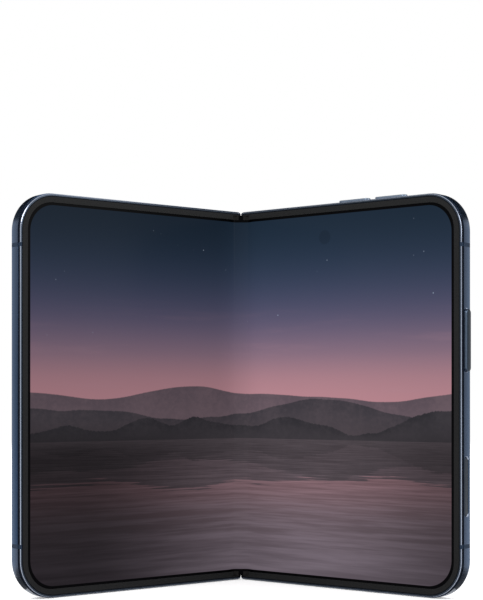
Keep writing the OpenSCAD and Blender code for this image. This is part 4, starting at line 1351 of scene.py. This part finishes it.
@dataclass
class Studio:
    """Camera, pale floor, white surround and soft lamps."""

    distance: float = 0.4767
    eye_height: float = 0.0603
    lens: float = 87.1
    sensor: float = 36.0
    shift_x: float = 0.001
    shift_y: float = 0.1605
    fill: float = 0.62
    floor_size: float = 3.0
    floor_tones: tuple[float, float] = (0.87, 0.90)
    floor_lift: float = 0.34
    corner_card: Point = (0.0815, -0.0195, 0.0003)
    corner_card_size: tuple[float, float] = (0.031, 0.015)
    corner_card_tone: float = 0.16

    def camera(self) -> None:
        """Adds the camera that looks straight at the hinge."""
        data = bpy.data.cameras.new("view")
        data.lens, data.sensor_width = self.lens, self.sensor
        data.shift_x, data.shift_y = self.shift_x, self.shift_y
        data.clip_start = 0.01
        eye = bpy.data.objects.new("view", data)
        eye.location = (0.0, LAYOUT.centre_y * MM - self.distance, self.eye_height)
        eye.rotation_euler = (math.pi / 2, 0.0, 0.0)
        bpy.context.collection.objects.link(eye)
        bpy.context.scene.camera = eye

    def surround(self) -> None:
        """Makes the world white where it is seen or mirrored, and softer where it only lights."""
        world = bpy.data.worlds.new("surround")
        world.use_nodes = True
        bpy.context.scene.world = world
        graph = Graph(world.node_tree)
        rays = graph.node("LightPath").outputs
        seen = graph.math("MAXIMUM", rays["Is Camera Ray"], rays["Is Glossy Ray"])
        seen = graph.math("MAXIMUM", seen, rays["Is Transmission Ray"])
        background = world.node_tree.nodes["Background"]
        background.inputs["Color"].default_value = (1.0, 1.0, 1.0, 1.0)
        strength = graph.math("MULTIPLY_ADD", seen, 1.0 - self.fill, self.fill)
        graph.feed(background.inputs["Strength"], strength)

    def floor(self) -> bpy.types.Object:
        """Adds the floor, which renders white and keeps the phone's shadow.

        Returns:
            The floor.
        """
        bm = bmesh.new()
        bmesh.ops.create_grid(bm, x_segments=2, y_segments=2, size=self.floor_size / 2)
        piece = new_piece(bm, "floor")
        made = bpy.data.materials.new("floor_paper")
        made.use_nodes = True
        graph = Graph(made.node_tree)
        shader = made.node_tree.nodes["Principled BSDF"]
        shader.inputs["Roughness"].default_value = 0.9
        shader.inputs["Specular IOR Level"].default_value = 0.0
        fibre = graph.noise(graph.place(), 700.0, 4.0)
        dark, pale = ((tone, tone, tone) for tone in self.floor_tones)
        graph.feed(shader.inputs["Base Color"], graph.mix(fibre, dark, pale))
        seen = graph.node("LightPath").outputs["Is Camera Ray"]
        lift = (self.floor_lift, self.floor_lift, self.floor_lift)
        graph.feed(shader.inputs["Emission Color"], graph.mix(seen, (0.0, 0.0, 0.0), lift))
        shader.inputs["Emission Strength"].default_value = 1.0
        piece.data.materials.append(made)
        return piece

    def cards(self) -> None:
        """Adds the large card behind and overhead, and a small one outside each bottom corner."""
        DarkCard("dark_card", (0.0, 1.50, 0.70), 3.0, 2.15).build()
        aside, y, z = self.corner_card
        for side in Side:
            centre = (side.value * aside, y, z)
            name = f"{side.word}_floor_card"
            DarkCard(name, centre, *self.corner_card_size, self.corner_card_tone).build()

    def build(self) -> list[bpy.types.Object]:
        """Sets up the studio.

        Returns:
            No piece of the phone.
        """
        bpy.context.scene.view_settings.view_transform = "Standard"
        self.camera()
        self.surround()
        self.floor()
        SoftLamp("key_lamp", (-0.55, -0.75, 0.85), 0.7, 9.0).build()
        SoftLamp("fill_lamp", (0.80, -0.55, 0.55), 0.8, 5.0).build()
        SoftLamp("rear_lamp", (0.0, 0.95, 0.85), 0.8, 8.0, mirrored=False).build()
        self.cards()
        return []


# ------------------------------------------------------------------ halves


@dataclass
class HalfFrame:
    """Rails, floor and ledge of one half, with its lip, the gap beside it and the keys' mouths.

    Attributes:
        side: The half.
        chamfer: Depth of the bright chamfer round the lip.
        lip_step: How far the lip stands inside the rails.
        lip_height: Depth of the lip.
        edge: Rounding of the sharp edges.
        mouth: How far the bevelled mouths of the keys' seats reach into the rails.
        mouth_start: Depth in the rail at which a mouth's bevel starts.
        mouth_reach: How far the mouths reach in front of and behind the keys' middle line.
        wall_band: How near the lip's wall a face lies to count as part of it.
        facing: Share of a direction that still counts as crosswise to it.
        front_facing: Share past which a face counts as the lip's flat front.
        slant: Least and greatest share of the outward direction on a bevel.
    """

    side: Side
    chamfer: float = 0.15
    lip_step: float = 0.25
    lip_height: float = 1.15
    edge: float = 0.05
    mouth: float = 0.2
    mouth_start: float = 0.05
    mouth_reach: float = 1.4
    wall_band: float = 0.1
    facing: float = 0.3
    front_facing: float = 0.95
    slant: tuple[float, float] = (0.5, 0.9)

    def finish_of(self, centre: Vector, normal: Vector) -> int:
        """Tells which of the frame's finishes a face takes.

        Args:
            centre: Middle of the face, in the half's flat millimetres.
            normal: Its direction there.

        Returns:
            0 for satin, 1 for the chamfer and the keys' mouths, 2 for the lip's wall, which is painted near
            black as shade, 3 for its front.
        """
        if centre.y < self.chamfer and normal.y < -self.facing:
            return 1 if normal.y > -self.front_facing else 3
        inward = -self.outward(centre)
        # The lip's wall takes painted shade.
        on_wall = abs(inward - self.lip_step) < self.wall_band and abs(normal.y) < self.facing
        if on_wall and centre.y < self.lip_height:
            return 2
        slope = normal.x if centre.x > LAYOUT.half_width - self.mouth else normal.z
        bevel = self.mouth_start < inward < self.mouth and self.slant[0] < slope < self.slant[1]
        return 1 if bevel and abs(centre.y - LAYOUT.key_mid) < self.mouth_reach else 0

    @staticmethod
    def outward(centre: Vector) -> float:
        """Measures how far a point stands outside the half's outline.

        Args:
            centre: The point, in the half's flat millimetres.

        Returns:
            The distance, which is 0 on the rails.
        """
        limit, corner = LAYOUT.half_width, LAYOUT.corner
        s = centre.x - (limit - corner)
        z = abs(centre.z - LAYOUT.height / 2) - (LAYOUT.height / 2 - corner)
        if s > 0 and z > 0:
            return math.hypot(s, z) - corner
        return max(s, z) - corner

    def build(self) -> list[bpy.types.Object]:
        """Makes the frame from its node's shape.

        Returns:
            The piece.
        """
        node = f"{self.side.word}_frame"
        bm = read_node(node)
        flat = LAYOUT.matrix(self.side).inverted()
        turn = flat.to_3x3().normalized()
        for face in bm.faces:
            face.material_index = self.finish_of(flat @ face.calc_center_median(), turn @ face.normal)
        piece = new_piece(bm, f"{node}_fine", 28.0)
        # Rail metal with painted shade toward the lip, chamfer, painted shade on the lip's wall, lip front.
        dress(piece, RAIL_METAL, EDGE_SILVER, GROOVE_SHADE, RIM_GREY)
        soften(piece, self.edge, 2, 35.0)
        return [mount(piece, self.side.body, [node])]


@dataclass
class BendingSheet:
    """One side's half of a sheet that bends across the hinge, built flat and then bent."""

    name: str
    side: Side
    end: float
    bend: float
    front: float
    back: float
    low: float
    high: float
    corner: float = 0.0
    relief: float = 0.0
    step: float = 0.25

    def flat(self) -> bmesh.types.BMesh:
        """Draws the sheet flat, cut into strips where it bends.

        Returns:
            The mesh in flat millimetres, with its front faces at index 0 and the rest at 1.
        """
        bm = bmesh.new()
        bmesh.ops.create_grid(bm, x_segments=1, y_segments=1, size=0.5)
        tall = Matrix.Diagonal((self.end, 1, self.high - self.low, 1)) @ Matrix.Rotation(math.pi / 2, 4, "X")
        centre = Matrix.Translation((self.end / 2, self.front, (self.low + self.high) / 2))
        bmesh.ops.transform(bm, matrix=centre @ tall, verts=bm.verts)
        if self.corner:
            outer = [vert for vert in bm.verts if vert.co.x > self.end / 2]
            bmesh.ops.bevel(
                bm, geom=outer, offset=self.corner, affect="VERTICES", segments=20, profile=0.5, material=-1
            )
        for index in range(1, round(self.bend / self.step) + 1):
            everything = bm.verts[:] + bm.edges[:] + bm.faces[:]
            cut = (index * self.step, 0, 0)
            bmesh.ops.bisect_plane(bm, geom=everything, plane_co=cut, plane_no=(1, 0, 0))
        raised = bmesh.ops.extrude_face_region(bm, geom=bm.faces[:], use_keep_orig=True)["geom"]
        verts = [item for item in raised if isinstance(item, bmesh.types.BMVert)]
        bmesh.ops.translate(bm, vec=(0, self.back - self.front, 0), verts=verts)
        thinned = [vert for vert in verts if vert.co.x < self.bend - self.step / 2]
        bmesh.ops.translate(bm, vec=(0, -self.relief, 0), verts=thinned)
        bmesh.ops.recalc_face_normals(bm, faces=bm.faces)
        for face in bm.faces:
            face.material_index = 0 if face.normal.y < -0.5 else 1
        return bm

    def build(self) -> bpy.types.Object:
        """Bends the sheet to its standing place and blends it from its half to the spine.

        Returns:
            The piece, not yet dressed.
        """
        bm = self.flat()
        layer = bm.verts.layers.float_vector.new("flat_mm")
        middle = (self.front + self.back) / 2
        for vert in bm.verts:
            s, d, z = vert.co
            vert[layer] = Vector((self.side.value * s, d, z))
            share = LAYOUT.bend_share(s, d, self.bend, middle)
            vert.co = LAYOUT.point(self.side, s, d, z, share)
        bmesh.ops.recalc_face_normals(bm, faces=bm.faces)
        piece = new_piece(bm, self.name, 40.0)
        mid_z = (self.low + self.high) / 2
        start = LAYOUT.point(self.side, self.bend, middle, mid_z)
        end = Vector((0.0, middle + LAYOUT.centre_y, mid_z)) * MM
        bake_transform(piece)
        return piece


@dataclass
class FoldingDisplay:
    """The inner display, one sheet over both halves that bends in its middle."""

    inset: float = 1.45
    bend: float = 6.0
    relief: float = 0.1

    def build(self) -> list[bpy.types.Object]:
        """Makes the display's two sides, which meet on the hinge line.

        Returns:
            The pieces.
        """
        made = []
        for side in Side:
            piece = BendingSheet(
                f"{side.word}_display_sheet",
                side,
                LAYOUT.half_width - self.inset,
                self.bend,
                LAYOUT.display_front,
                LAYOUT.display_back,
                self.inset,
                LAYOUT.height - self.inset,
                LAYOUT.corner - self.inset,
                self.relief,
            ).build()
            dress(piece, DISPLAY_LIT, DISPLAY_EDGE)
            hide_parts(f"{side.word}_display", "display_bend")
            made.append(piece)
        return made


@dataclass
class RibbonCables:
    """The two flexible cables that join the halves' boards through the spine."""

    heights: tuple[float, float] = (36.0, 85.0)
    width: float = 12.0
    front: float = 3.24
    thickness: float = 0.12
    bend: float = 4.4
    end: float = 15.6

    def build(self) -> list[bpy.types.Object]:
        """Makes each side of each cable.

        Returns:
            The pieces.
        """
        made = []
        for side in Side:
            for place, height in zip(("lower", "upper"), self.heights):
                piece = BendingSheet(
                    f"{side.word}_{place}_ribbon",
                    side,
                    self.end,
                    self.bend,
                    self.front,
                    self.front + self.thickness,
                    height - self.width / 2,
                    height + self.width / 2,
                ).build()
                dress(piece, RIBBON_AMBER, RIBBON_AMBER)
                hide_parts("hinge_flex_cables")
                made.append(piece)
        return made


# ------------------------------------------------------------------ keys


@dataclass
class Key:
    """A pressed or touched key: a bar with a softly rounded face on two guide pins."""

    node: str
    body: str
    rail: Rail
    place: float
    length: float
    width: float
    proud: float
    finish: Finish
    slot: str = "key"
    # Lighter copy of the finish for the walls, as painted light.
    wall: Optional[Finish] = None
    seat: float = 1.1
    edge: float = 0.22
    pin_r: float = 0.4
    pin_inset: float = 2.6
    pin_foot: float = 2.1
    wall_facing: float = 0.6
    corner_slack: float = 0.001

    def stand(self) -> Matrix:
        """Makes the map from a key drawn lengthways along x, face up, to its seat.

        Returns:
            The map, to metres.
        """
        if self.rail is Rail.OUTER:
            turn = Matrix.Rotation(math.pi / 2, 4, "Y") @ Matrix.Rotation(math.pi, 4, "Z")
            shift = Matrix.Translation((LAYOUT.half_width, LAYOUT.key_mid, self.place))
            return LAYOUT.matrix(Side.RIGHT) @ shift @ turn
        shift = Matrix.Translation((self.place, LAYOUT.key_mid, LAYOUT.height))
        return LAYOUT.matrix(Side.RIGHT) @ shift

    def build(self) -> list[bpy.types.Object]:
        """Makes the key in place of its node.

        Returns:
            The piece.
        """
        bm = bmesh.new()
        corner = self.width / 2 - self.corner_slack
        add_bar(bm, self.length, self.width, -self.seat, self.proud, corner, self.edge)
        bm.normal_update()
        # Walls take the lighter copy of the finish, painted light, when one is given.
        for face in bm.faces:
            on_wall = abs(face.normal.z) < self.wall_facing
            face.material_index = 1 if self.wall and on_wall else 0
        drop = self.pin_foot - self.seat
        for way in (-1, 1):
            pin = bmesh.ops.create_cone(
                bm, cap_ends=True, segments=24, radius1=self.pin_r, radius2=self.pin_r, depth=drop
            )["verts"]
            shift = (way * (self.length / 2 - self.pin_inset), 0, -(self.pin_foot + self.seat) / 2)
            bmesh.ops.translate(bm, vec=shift, verts=pin)
        settle(bm, self.stand())
        piece = new_piece(bm, f"{self.node}_cap", 35.0)
        dress(piece, self.finish, self.wall or self.finish)
        return [mount(piece, self.body, [self.node])]


# ------------------------------------------------------------------ rear


@dataclass
class RearCamera:
    """A rear camera: housing, stepped barrel and coated front lens under its cover glass."""

    name: str
    height: float
    housing: float
    centre_s: float = 70.8
    half_width: float = 5.5
    barrel_r: float = 4.5
    barrel_top: float = 6.3
    barrel_edge: float = 0.12
    steps: tuple[tuple[float, float], ...] = ((3.95, 0.0), (3.85, 0.18), (3.3, 0.22), (3.2, 0.5), (2.7, 0.55))
    pupil: float = 2.3
    well_start: float = 0.95
    well_depth: float = 1.5
    lens_drop: float = 1.45
    lens_rise: float = 0.75
    lens_back: float = 0.02
    housing_corner: float = 0.6
    housing_edge: float = 0.15

    def housing_mesh(self) -> bmesh.types.BMesh:
        """Makes the square housing and the barrel that rises from it.

        Returns:
            The mesh, standing on z.
        """
        top = self.barrel_top - LAYOUT.inner_front
        foot = LAYOUT.inner_back - LAYOUT.inner_front
        shoulder = top - self.barrel_edge
        rim = [(self.barrel_r, foot), (self.barrel_r, shoulder), (self.barrel_r - self.barrel_edge, top)]
        steps = [(radius, top - drop) for radius, drop in self.steps]
        floor = top - self.well_depth
        well = [(self.pupil + 0.2, top - self.well_start), (self.pupil + 0.1, floor), (0.0, floor)]
        bm = turned_shell([(0.0, foot)] + rim + steps + well)
        size = (2 * self.half_width, 2 * self.housing)
        add_bar(bm, *size, 0.0, foot, self.housing_corner, self.housing_edge)
        return bm

    def lens_mesh(self) -> bmesh.types.BMesh:
        """Makes the domed front lens.

        Returns:
            The mesh, standing on z.
        """
        base = self.barrel_top - LAYOUT.inner_front - self.lens_drop
        angles = [step * math.pi / 16 for step in range(9)]
        dome = [(self.pupil * math.sin(turn), base + self.lens_rise * math.cos(turn)) for turn in angles]
        return turned_shell(dome + [(0.0, base - self.lens_back)])

    def build(self) -> list[bpy.types.Object]:
        """Makes the camera's two pieces.

        Returns:
            The pieces.
        """
        stand = rear_facing(self.centre_s, LAYOUT.inner_front, self.height)
        parts = (
            ("module", self.housing_mesh(), LENS_BLACK, [self.name]),
            ("lens", self.lens_mesh(), COATED_LENS, []),
        )
        made = []
        for part, mesh, finish, nodes in parts:
            settle(mesh, stand)
            piece = new_piece(mesh, f"{self.name}_{part}")
            dress(piece, finish)
            made.append(mount(piece, "right_half", nodes))
        return made


@dataclass
class RearIsland:
    """The raised metal island with its two lens rings, and the flash between them."""

    centre_s: float = 70.8
    centre_z: float = 95.0
    flash_r: float = 1.5
    flash_top: float = 6.65
    ring_foot: float = 6.72
    edge: float = 0.12
    ribs: int = 6
    rib_pitch: float = 0.2

    def island(self) -> bpy.types.Object:
        """Makes the island, with bright rings round the lenses.

        Returns:
            The piece.
        """
        bm = read_node("camera_island")
        flat = LAYOUT.matrix(Side.RIGHT).inverted()
        for face in bm.faces:
            face.material_index = 1 if (flat @ face.calc_center_median()).y > self.ring_foot else 0
        piece = new_piece(bm, "camera_island_fine")
        dress(piece, ISLAND_BLUE, RING_POLISH)
        soften(piece, self.edge, 3)
        return mount(piece, "right_half", ["camera_island"])

    def flash(self) -> bpy.types.Object:
        """Makes the flash's ribbed lens.

        Returns:
            The piece.
        """
        top = self.flash_top - LAYOUT.inner_back
        ribs: list[tuple[float, float]] = [(0.0, top)]
        for index in range(self.ribs):
            radius = self.rib_pitch + index * self.rib_pitch
            ribs += [(radius, top - 0.01), (radius + 0.02, top - 0.07), (radius + 0.18, top - 0.02)]
        wall = [(self.flash_r, top - 0.1), (self.flash_r, 0.0), (0.0, 0.0)]
        bm = turned_shell(ribs + wall, 48)
        settle(bm, rear_facing(self.centre_s, LAYOUT.inner_back, self.centre_z))
        piece = new_piece(bm, "flash_lens")
        dress(piece, FLASH_RESIN)
        return mount(piece, "right_half", ["flash_lamp"])

    def build(self) -> list[bpy.types.Object]:
        """Makes the island and the flash.

        Returns:
            The pieces.
        """
        return [self.island(), self.flash()]


@dataclass
class CoverPanel:
    """The cover display's panel behind the left half's rear glass."""

    node: str = "cover_display"

    def build(self) -> list[bpy.types.Object]:
        """Makes the panel, with its flat places kept for the border.

        Returns:
            The piece.
        """
        bm = read_node(self.node)
        layer = bm.verts.layers.float_vector.new("flat_mm")
        flat = LAYOUT.matrix(Side.LEFT).inverted()
        for vert in bm.verts:
            vert[layer] = flat @ vert.co
        piece = new_piece(bm, "cover_display_fine")
        dress(piece, COVER_PANEL)
        return [mount(piece, "left_half", [self.node])]


# ------------------------------------------------------------------ bottom rail


@dataclass
class BottomRail:
    """The port's contacts and the mesh behind the sound holes."""

    port_s: float = 42.0
    port_z: float = 0.35
    contacts: int = 12
    contact_pitch: float = 0.5
    contact_size: Point = (0.26, 0.04, 3.6)
    contact_mid: float = 3.1
    contact_rise: float = 0.012
    contact_edge: float = 0.015
    tongue_half: float = 0.35
    hole_s: float = 55.5
    hole_pitch: float = 2.2
    holes: int = 6
    mesh_r: float = 0.495
    mesh_thickness: float = 0.12
    mesh_z: float = 1.2

    def pads(self) -> bpy.types.Object:
        """Makes the gold contacts on both faces of the port's tongue.

        Returns:
            The piece.
        """
        bm = bmesh.new()
        span = (self.contacts - 1) * self.contact_pitch
        size = Matrix.Diagonal((*self.contact_size, 1))
        for index in range(self.contacts):
            for way in (-1, 1):
                pad = bmesh.ops.create_cube(bm, size=1.0)["verts"]
                away = way * (self.tongue_half + self.contact_rise)
                spot = (index * self.contact_pitch - span / 2, away, self.contact_mid)
                bmesh.ops.transform(bm, matrix=Matrix.Translation(spot) @ size, verts=pad)
        edges = [edge for edge in bm.edges if abs(edge.verts[0].co.z - edge.verts[1].co.z) > 1]
        bmesh.ops.bevel(
            bm, geom=edges, offset=self.contact_edge, affect="EDGES", segments=1, profile=0.5, material=-1
        )
        port = Matrix.Translation((self.port_s, LAYOUT.rail_mid, self.port_z))
        settle(bm, LAYOUT.matrix(Side.RIGHT) @ port)
        piece = new_piece(bm, "port_contacts")
        dress(piece, CONTACT_GOLD)
        return mount(piece, "right_half")

    def mesh(self) -> bpy.types.Object:
        """Makes the round patches of mesh inside the sound holes.

        Returns:
            The piece.
        """
        bm = bmesh.new()
        for index in range(self.holes):
            disc = bmesh.ops.create_cone(
                bm,
                cap_ends=True,
                segments=32,
                radius1=self.mesh_r,
                radius2=self.mesh_r,
                depth=self.mesh_thickness,
            )["verts"]
            spot = (self.hole_s + index * self.hole_pitch, LAYOUT.rail_mid, self.mesh_z)
            bmesh.ops.translate(bm, vec=spot, verts=disc)
        settle(bm, LAYOUT.matrix(Side.RIGHT))
        piece = new_piece(bm, "sound_mesh")
        dress(piece, MESH_WIRE)
        return mount(piece, "right_half")

    def build(self) -> list[bpy.types.Object]:
        """Makes the contacts and the mesh.

        Returns:
            The pieces.
        """
        return [self.pads(), self.mesh()]


# ------------------------------------------------------------------ the rest of the CAD nodes

PLAIN_NODES: dict[Finish, tuple[str, ...]] = {
    BAND_BLUE: ("left_antenna_bands", "right_antenna_bands"),
    BRACKET_STEEL: ("hinge_bracket_top", "hinge_bracket_middle", "hinge_bracket_bottom"),
    ARM_STEEL: ("left_gear_arms", "right_gear_arms", "left_middle_arm", "right_middle_arm"),
    PLATE_STEEL: (
        "left_display_plate",
        "right_display_plate",
        "wing_plate_left",
        "wing_plate_right",
        "fold_support_strip",
    ),
    SHAFT_STEEL: ("hinge_shafts", "idler_axles"),
    GEAR_BRASS: ("idler_gear_left", "idler_gear_right"),
    WASHER_BRONZE: ("disc_springs",),
    SCREW_STEEL: ("hinge_screws", "left_arm_screws", "right_arm_screws"),
    CELL_WRAP: ("left_battery", "right_battery"),
    BOARD_GREEN: ("left_board", "main_board"),
    SHIELD_TIN: ("board_shield",),
    MAGNET_NICKEL: ("left_magnets", "right_magnets"),
    COIL_COPPER: ("charging_coil",),
    SPEAKER_BLACK: ("loudspeaker", "receiver"),
    HAPTIC_STEEL: ("haptic_motor",),
    HOUSING_BLACK: ("inner_camera",),
    LENS_BLACK: ("cover_camera", "main_camera", "wide_camera"),
    DOME_GOLD: ("key_flex",),
    DISPLAY_EDGE: ("left_display", "right_display", "display_bend"),
    RIBBON_AMBER: ("hinge_flex_cables",),
    RAIL_BLUE: ("left_frame", "right_frame"),
    KEY_BLUE: ("side_key",),
    VOLUME_KEY_LIT: ("volume_up_key", "volume_down_key"),
    TOUCH_KEY: ("touch_key",),
    BEZEL_BLACK: ("left_bezel", "right_bezel"),
    SPINE_BLUE: ("spine_cover", "spine_cap_top", "spine_cap_bottom"),
    REAR_GLASS: ("back_glass",),
    COVER_GLASS: ("cover_glass",),
    COVER_PANEL: ("cover_display",),
    ISLAND_BLUE: ("camera_island",),
    LENS_GLASS: ("lens_covers",),
    FLASH_RESIN: ("flash_lamp",),
    PORT_STEEL: ("usb_c_port",),
}


@dataclass
class DressedNodes:
    """Every CAD node, dressed in its finish whether it shows or not."""

    def build(self) -> list[bpy.types.Object]:
        """Dresses the nodes.

        Returns:
            Their objects.
        """
        return [Dressing(node, finish).apply() for finish, nodes in PLAIN_NODES.items() for node in nodes]


@dataclass
class VisibleShells:
    """The CAD shapes that show and keep their form, each in a finer copy."""

    def copies(self) -> list[RefinedCopy]:
        """Lists the copies.

        Returns:
            The copies, not yet built.
        """
        spine = [
            RefinedCopy(node, "spine", "rail_metal", SPINE_BLUE, 0.08)
            for node in ("spine_cover", "spine_cap_top", "spine_cap_bottom")
        ]
        return [
            BezelRing("left_bezel", "left_half", "bezel", BEZEL_BLACK, 0.05),
            BezelRing("right_bezel", "right_half", "bezel", BEZEL_BLACK, 0.05),
            RefinedCopy("back_glass", "right_half", "back_glass", REAR_GLASS, 0.15),
            RefinedCopy("cover_glass", "left_half", "cover_glass", COVER_GLASS, 0.15),
            RefinedCopy("lens_covers", "right_half", "lens_glass", LENS_GLASS, 0.08),
            PortShell("usb_c_port", "right_half", "port", PORT_STEEL, 0.06),
            *spine,
        ]

    def build(self) -> list[bpy.types.Object]:
        """Makes the copies.

        Returns:
            The pieces.
        """
        return [piece for copy in self.copies() for piece in copy.build()]


# ------------------------------------------------------------------ the phone


def main() -> None:
    """Builds the studio and every sub-assembly in order, and reports each piece."""
    logging.basicConfig(level=logging.INFO, format="%(name)s: %(message)s")
    assemblies = [
        Studio(),
        DressedNodes(),
        HalfFrame(Side.LEFT),
        HalfFrame(Side.RIGHT),
        VisibleShells(),
        FoldingDisplay(),
        RibbonCables(),
        Key("side_key", "side_button", Rail.OUTER, 76.8, 18.4, 2.4, 0.9, KEY_BLUE, wall=KEY_WALL_LIT),
        Key("touch_key", "touch_button", Rail.OUTER, 33.6, 17.3, 2.4, -0.1, TOUCH_KEY, "touch_key"),
        Key("volume_up_key", "volume_up", Rail.TOP, 57.8, 11.2, 2.4, 0.65, VOLUME_KEY_LIT),
        Key("volume_down_key", "volume_down", Rail.TOP, 44.4, 11.2, 2.4, 0.65, VOLUME_KEY_LIT),
        RearIsland(),
        RearCamera("main_camera", 105.6, 5.5),
        RearCamera("wide_camera", 84.4, 5.0),
        CoverPanel(),
        BottomRail(),
    ]
    for assembly in assemblies:
        for piece in assembly.build():
            LOG.info("%s: %s", type(assembly).__name__, piece.name)


if __name__ == "__main__":
    main()
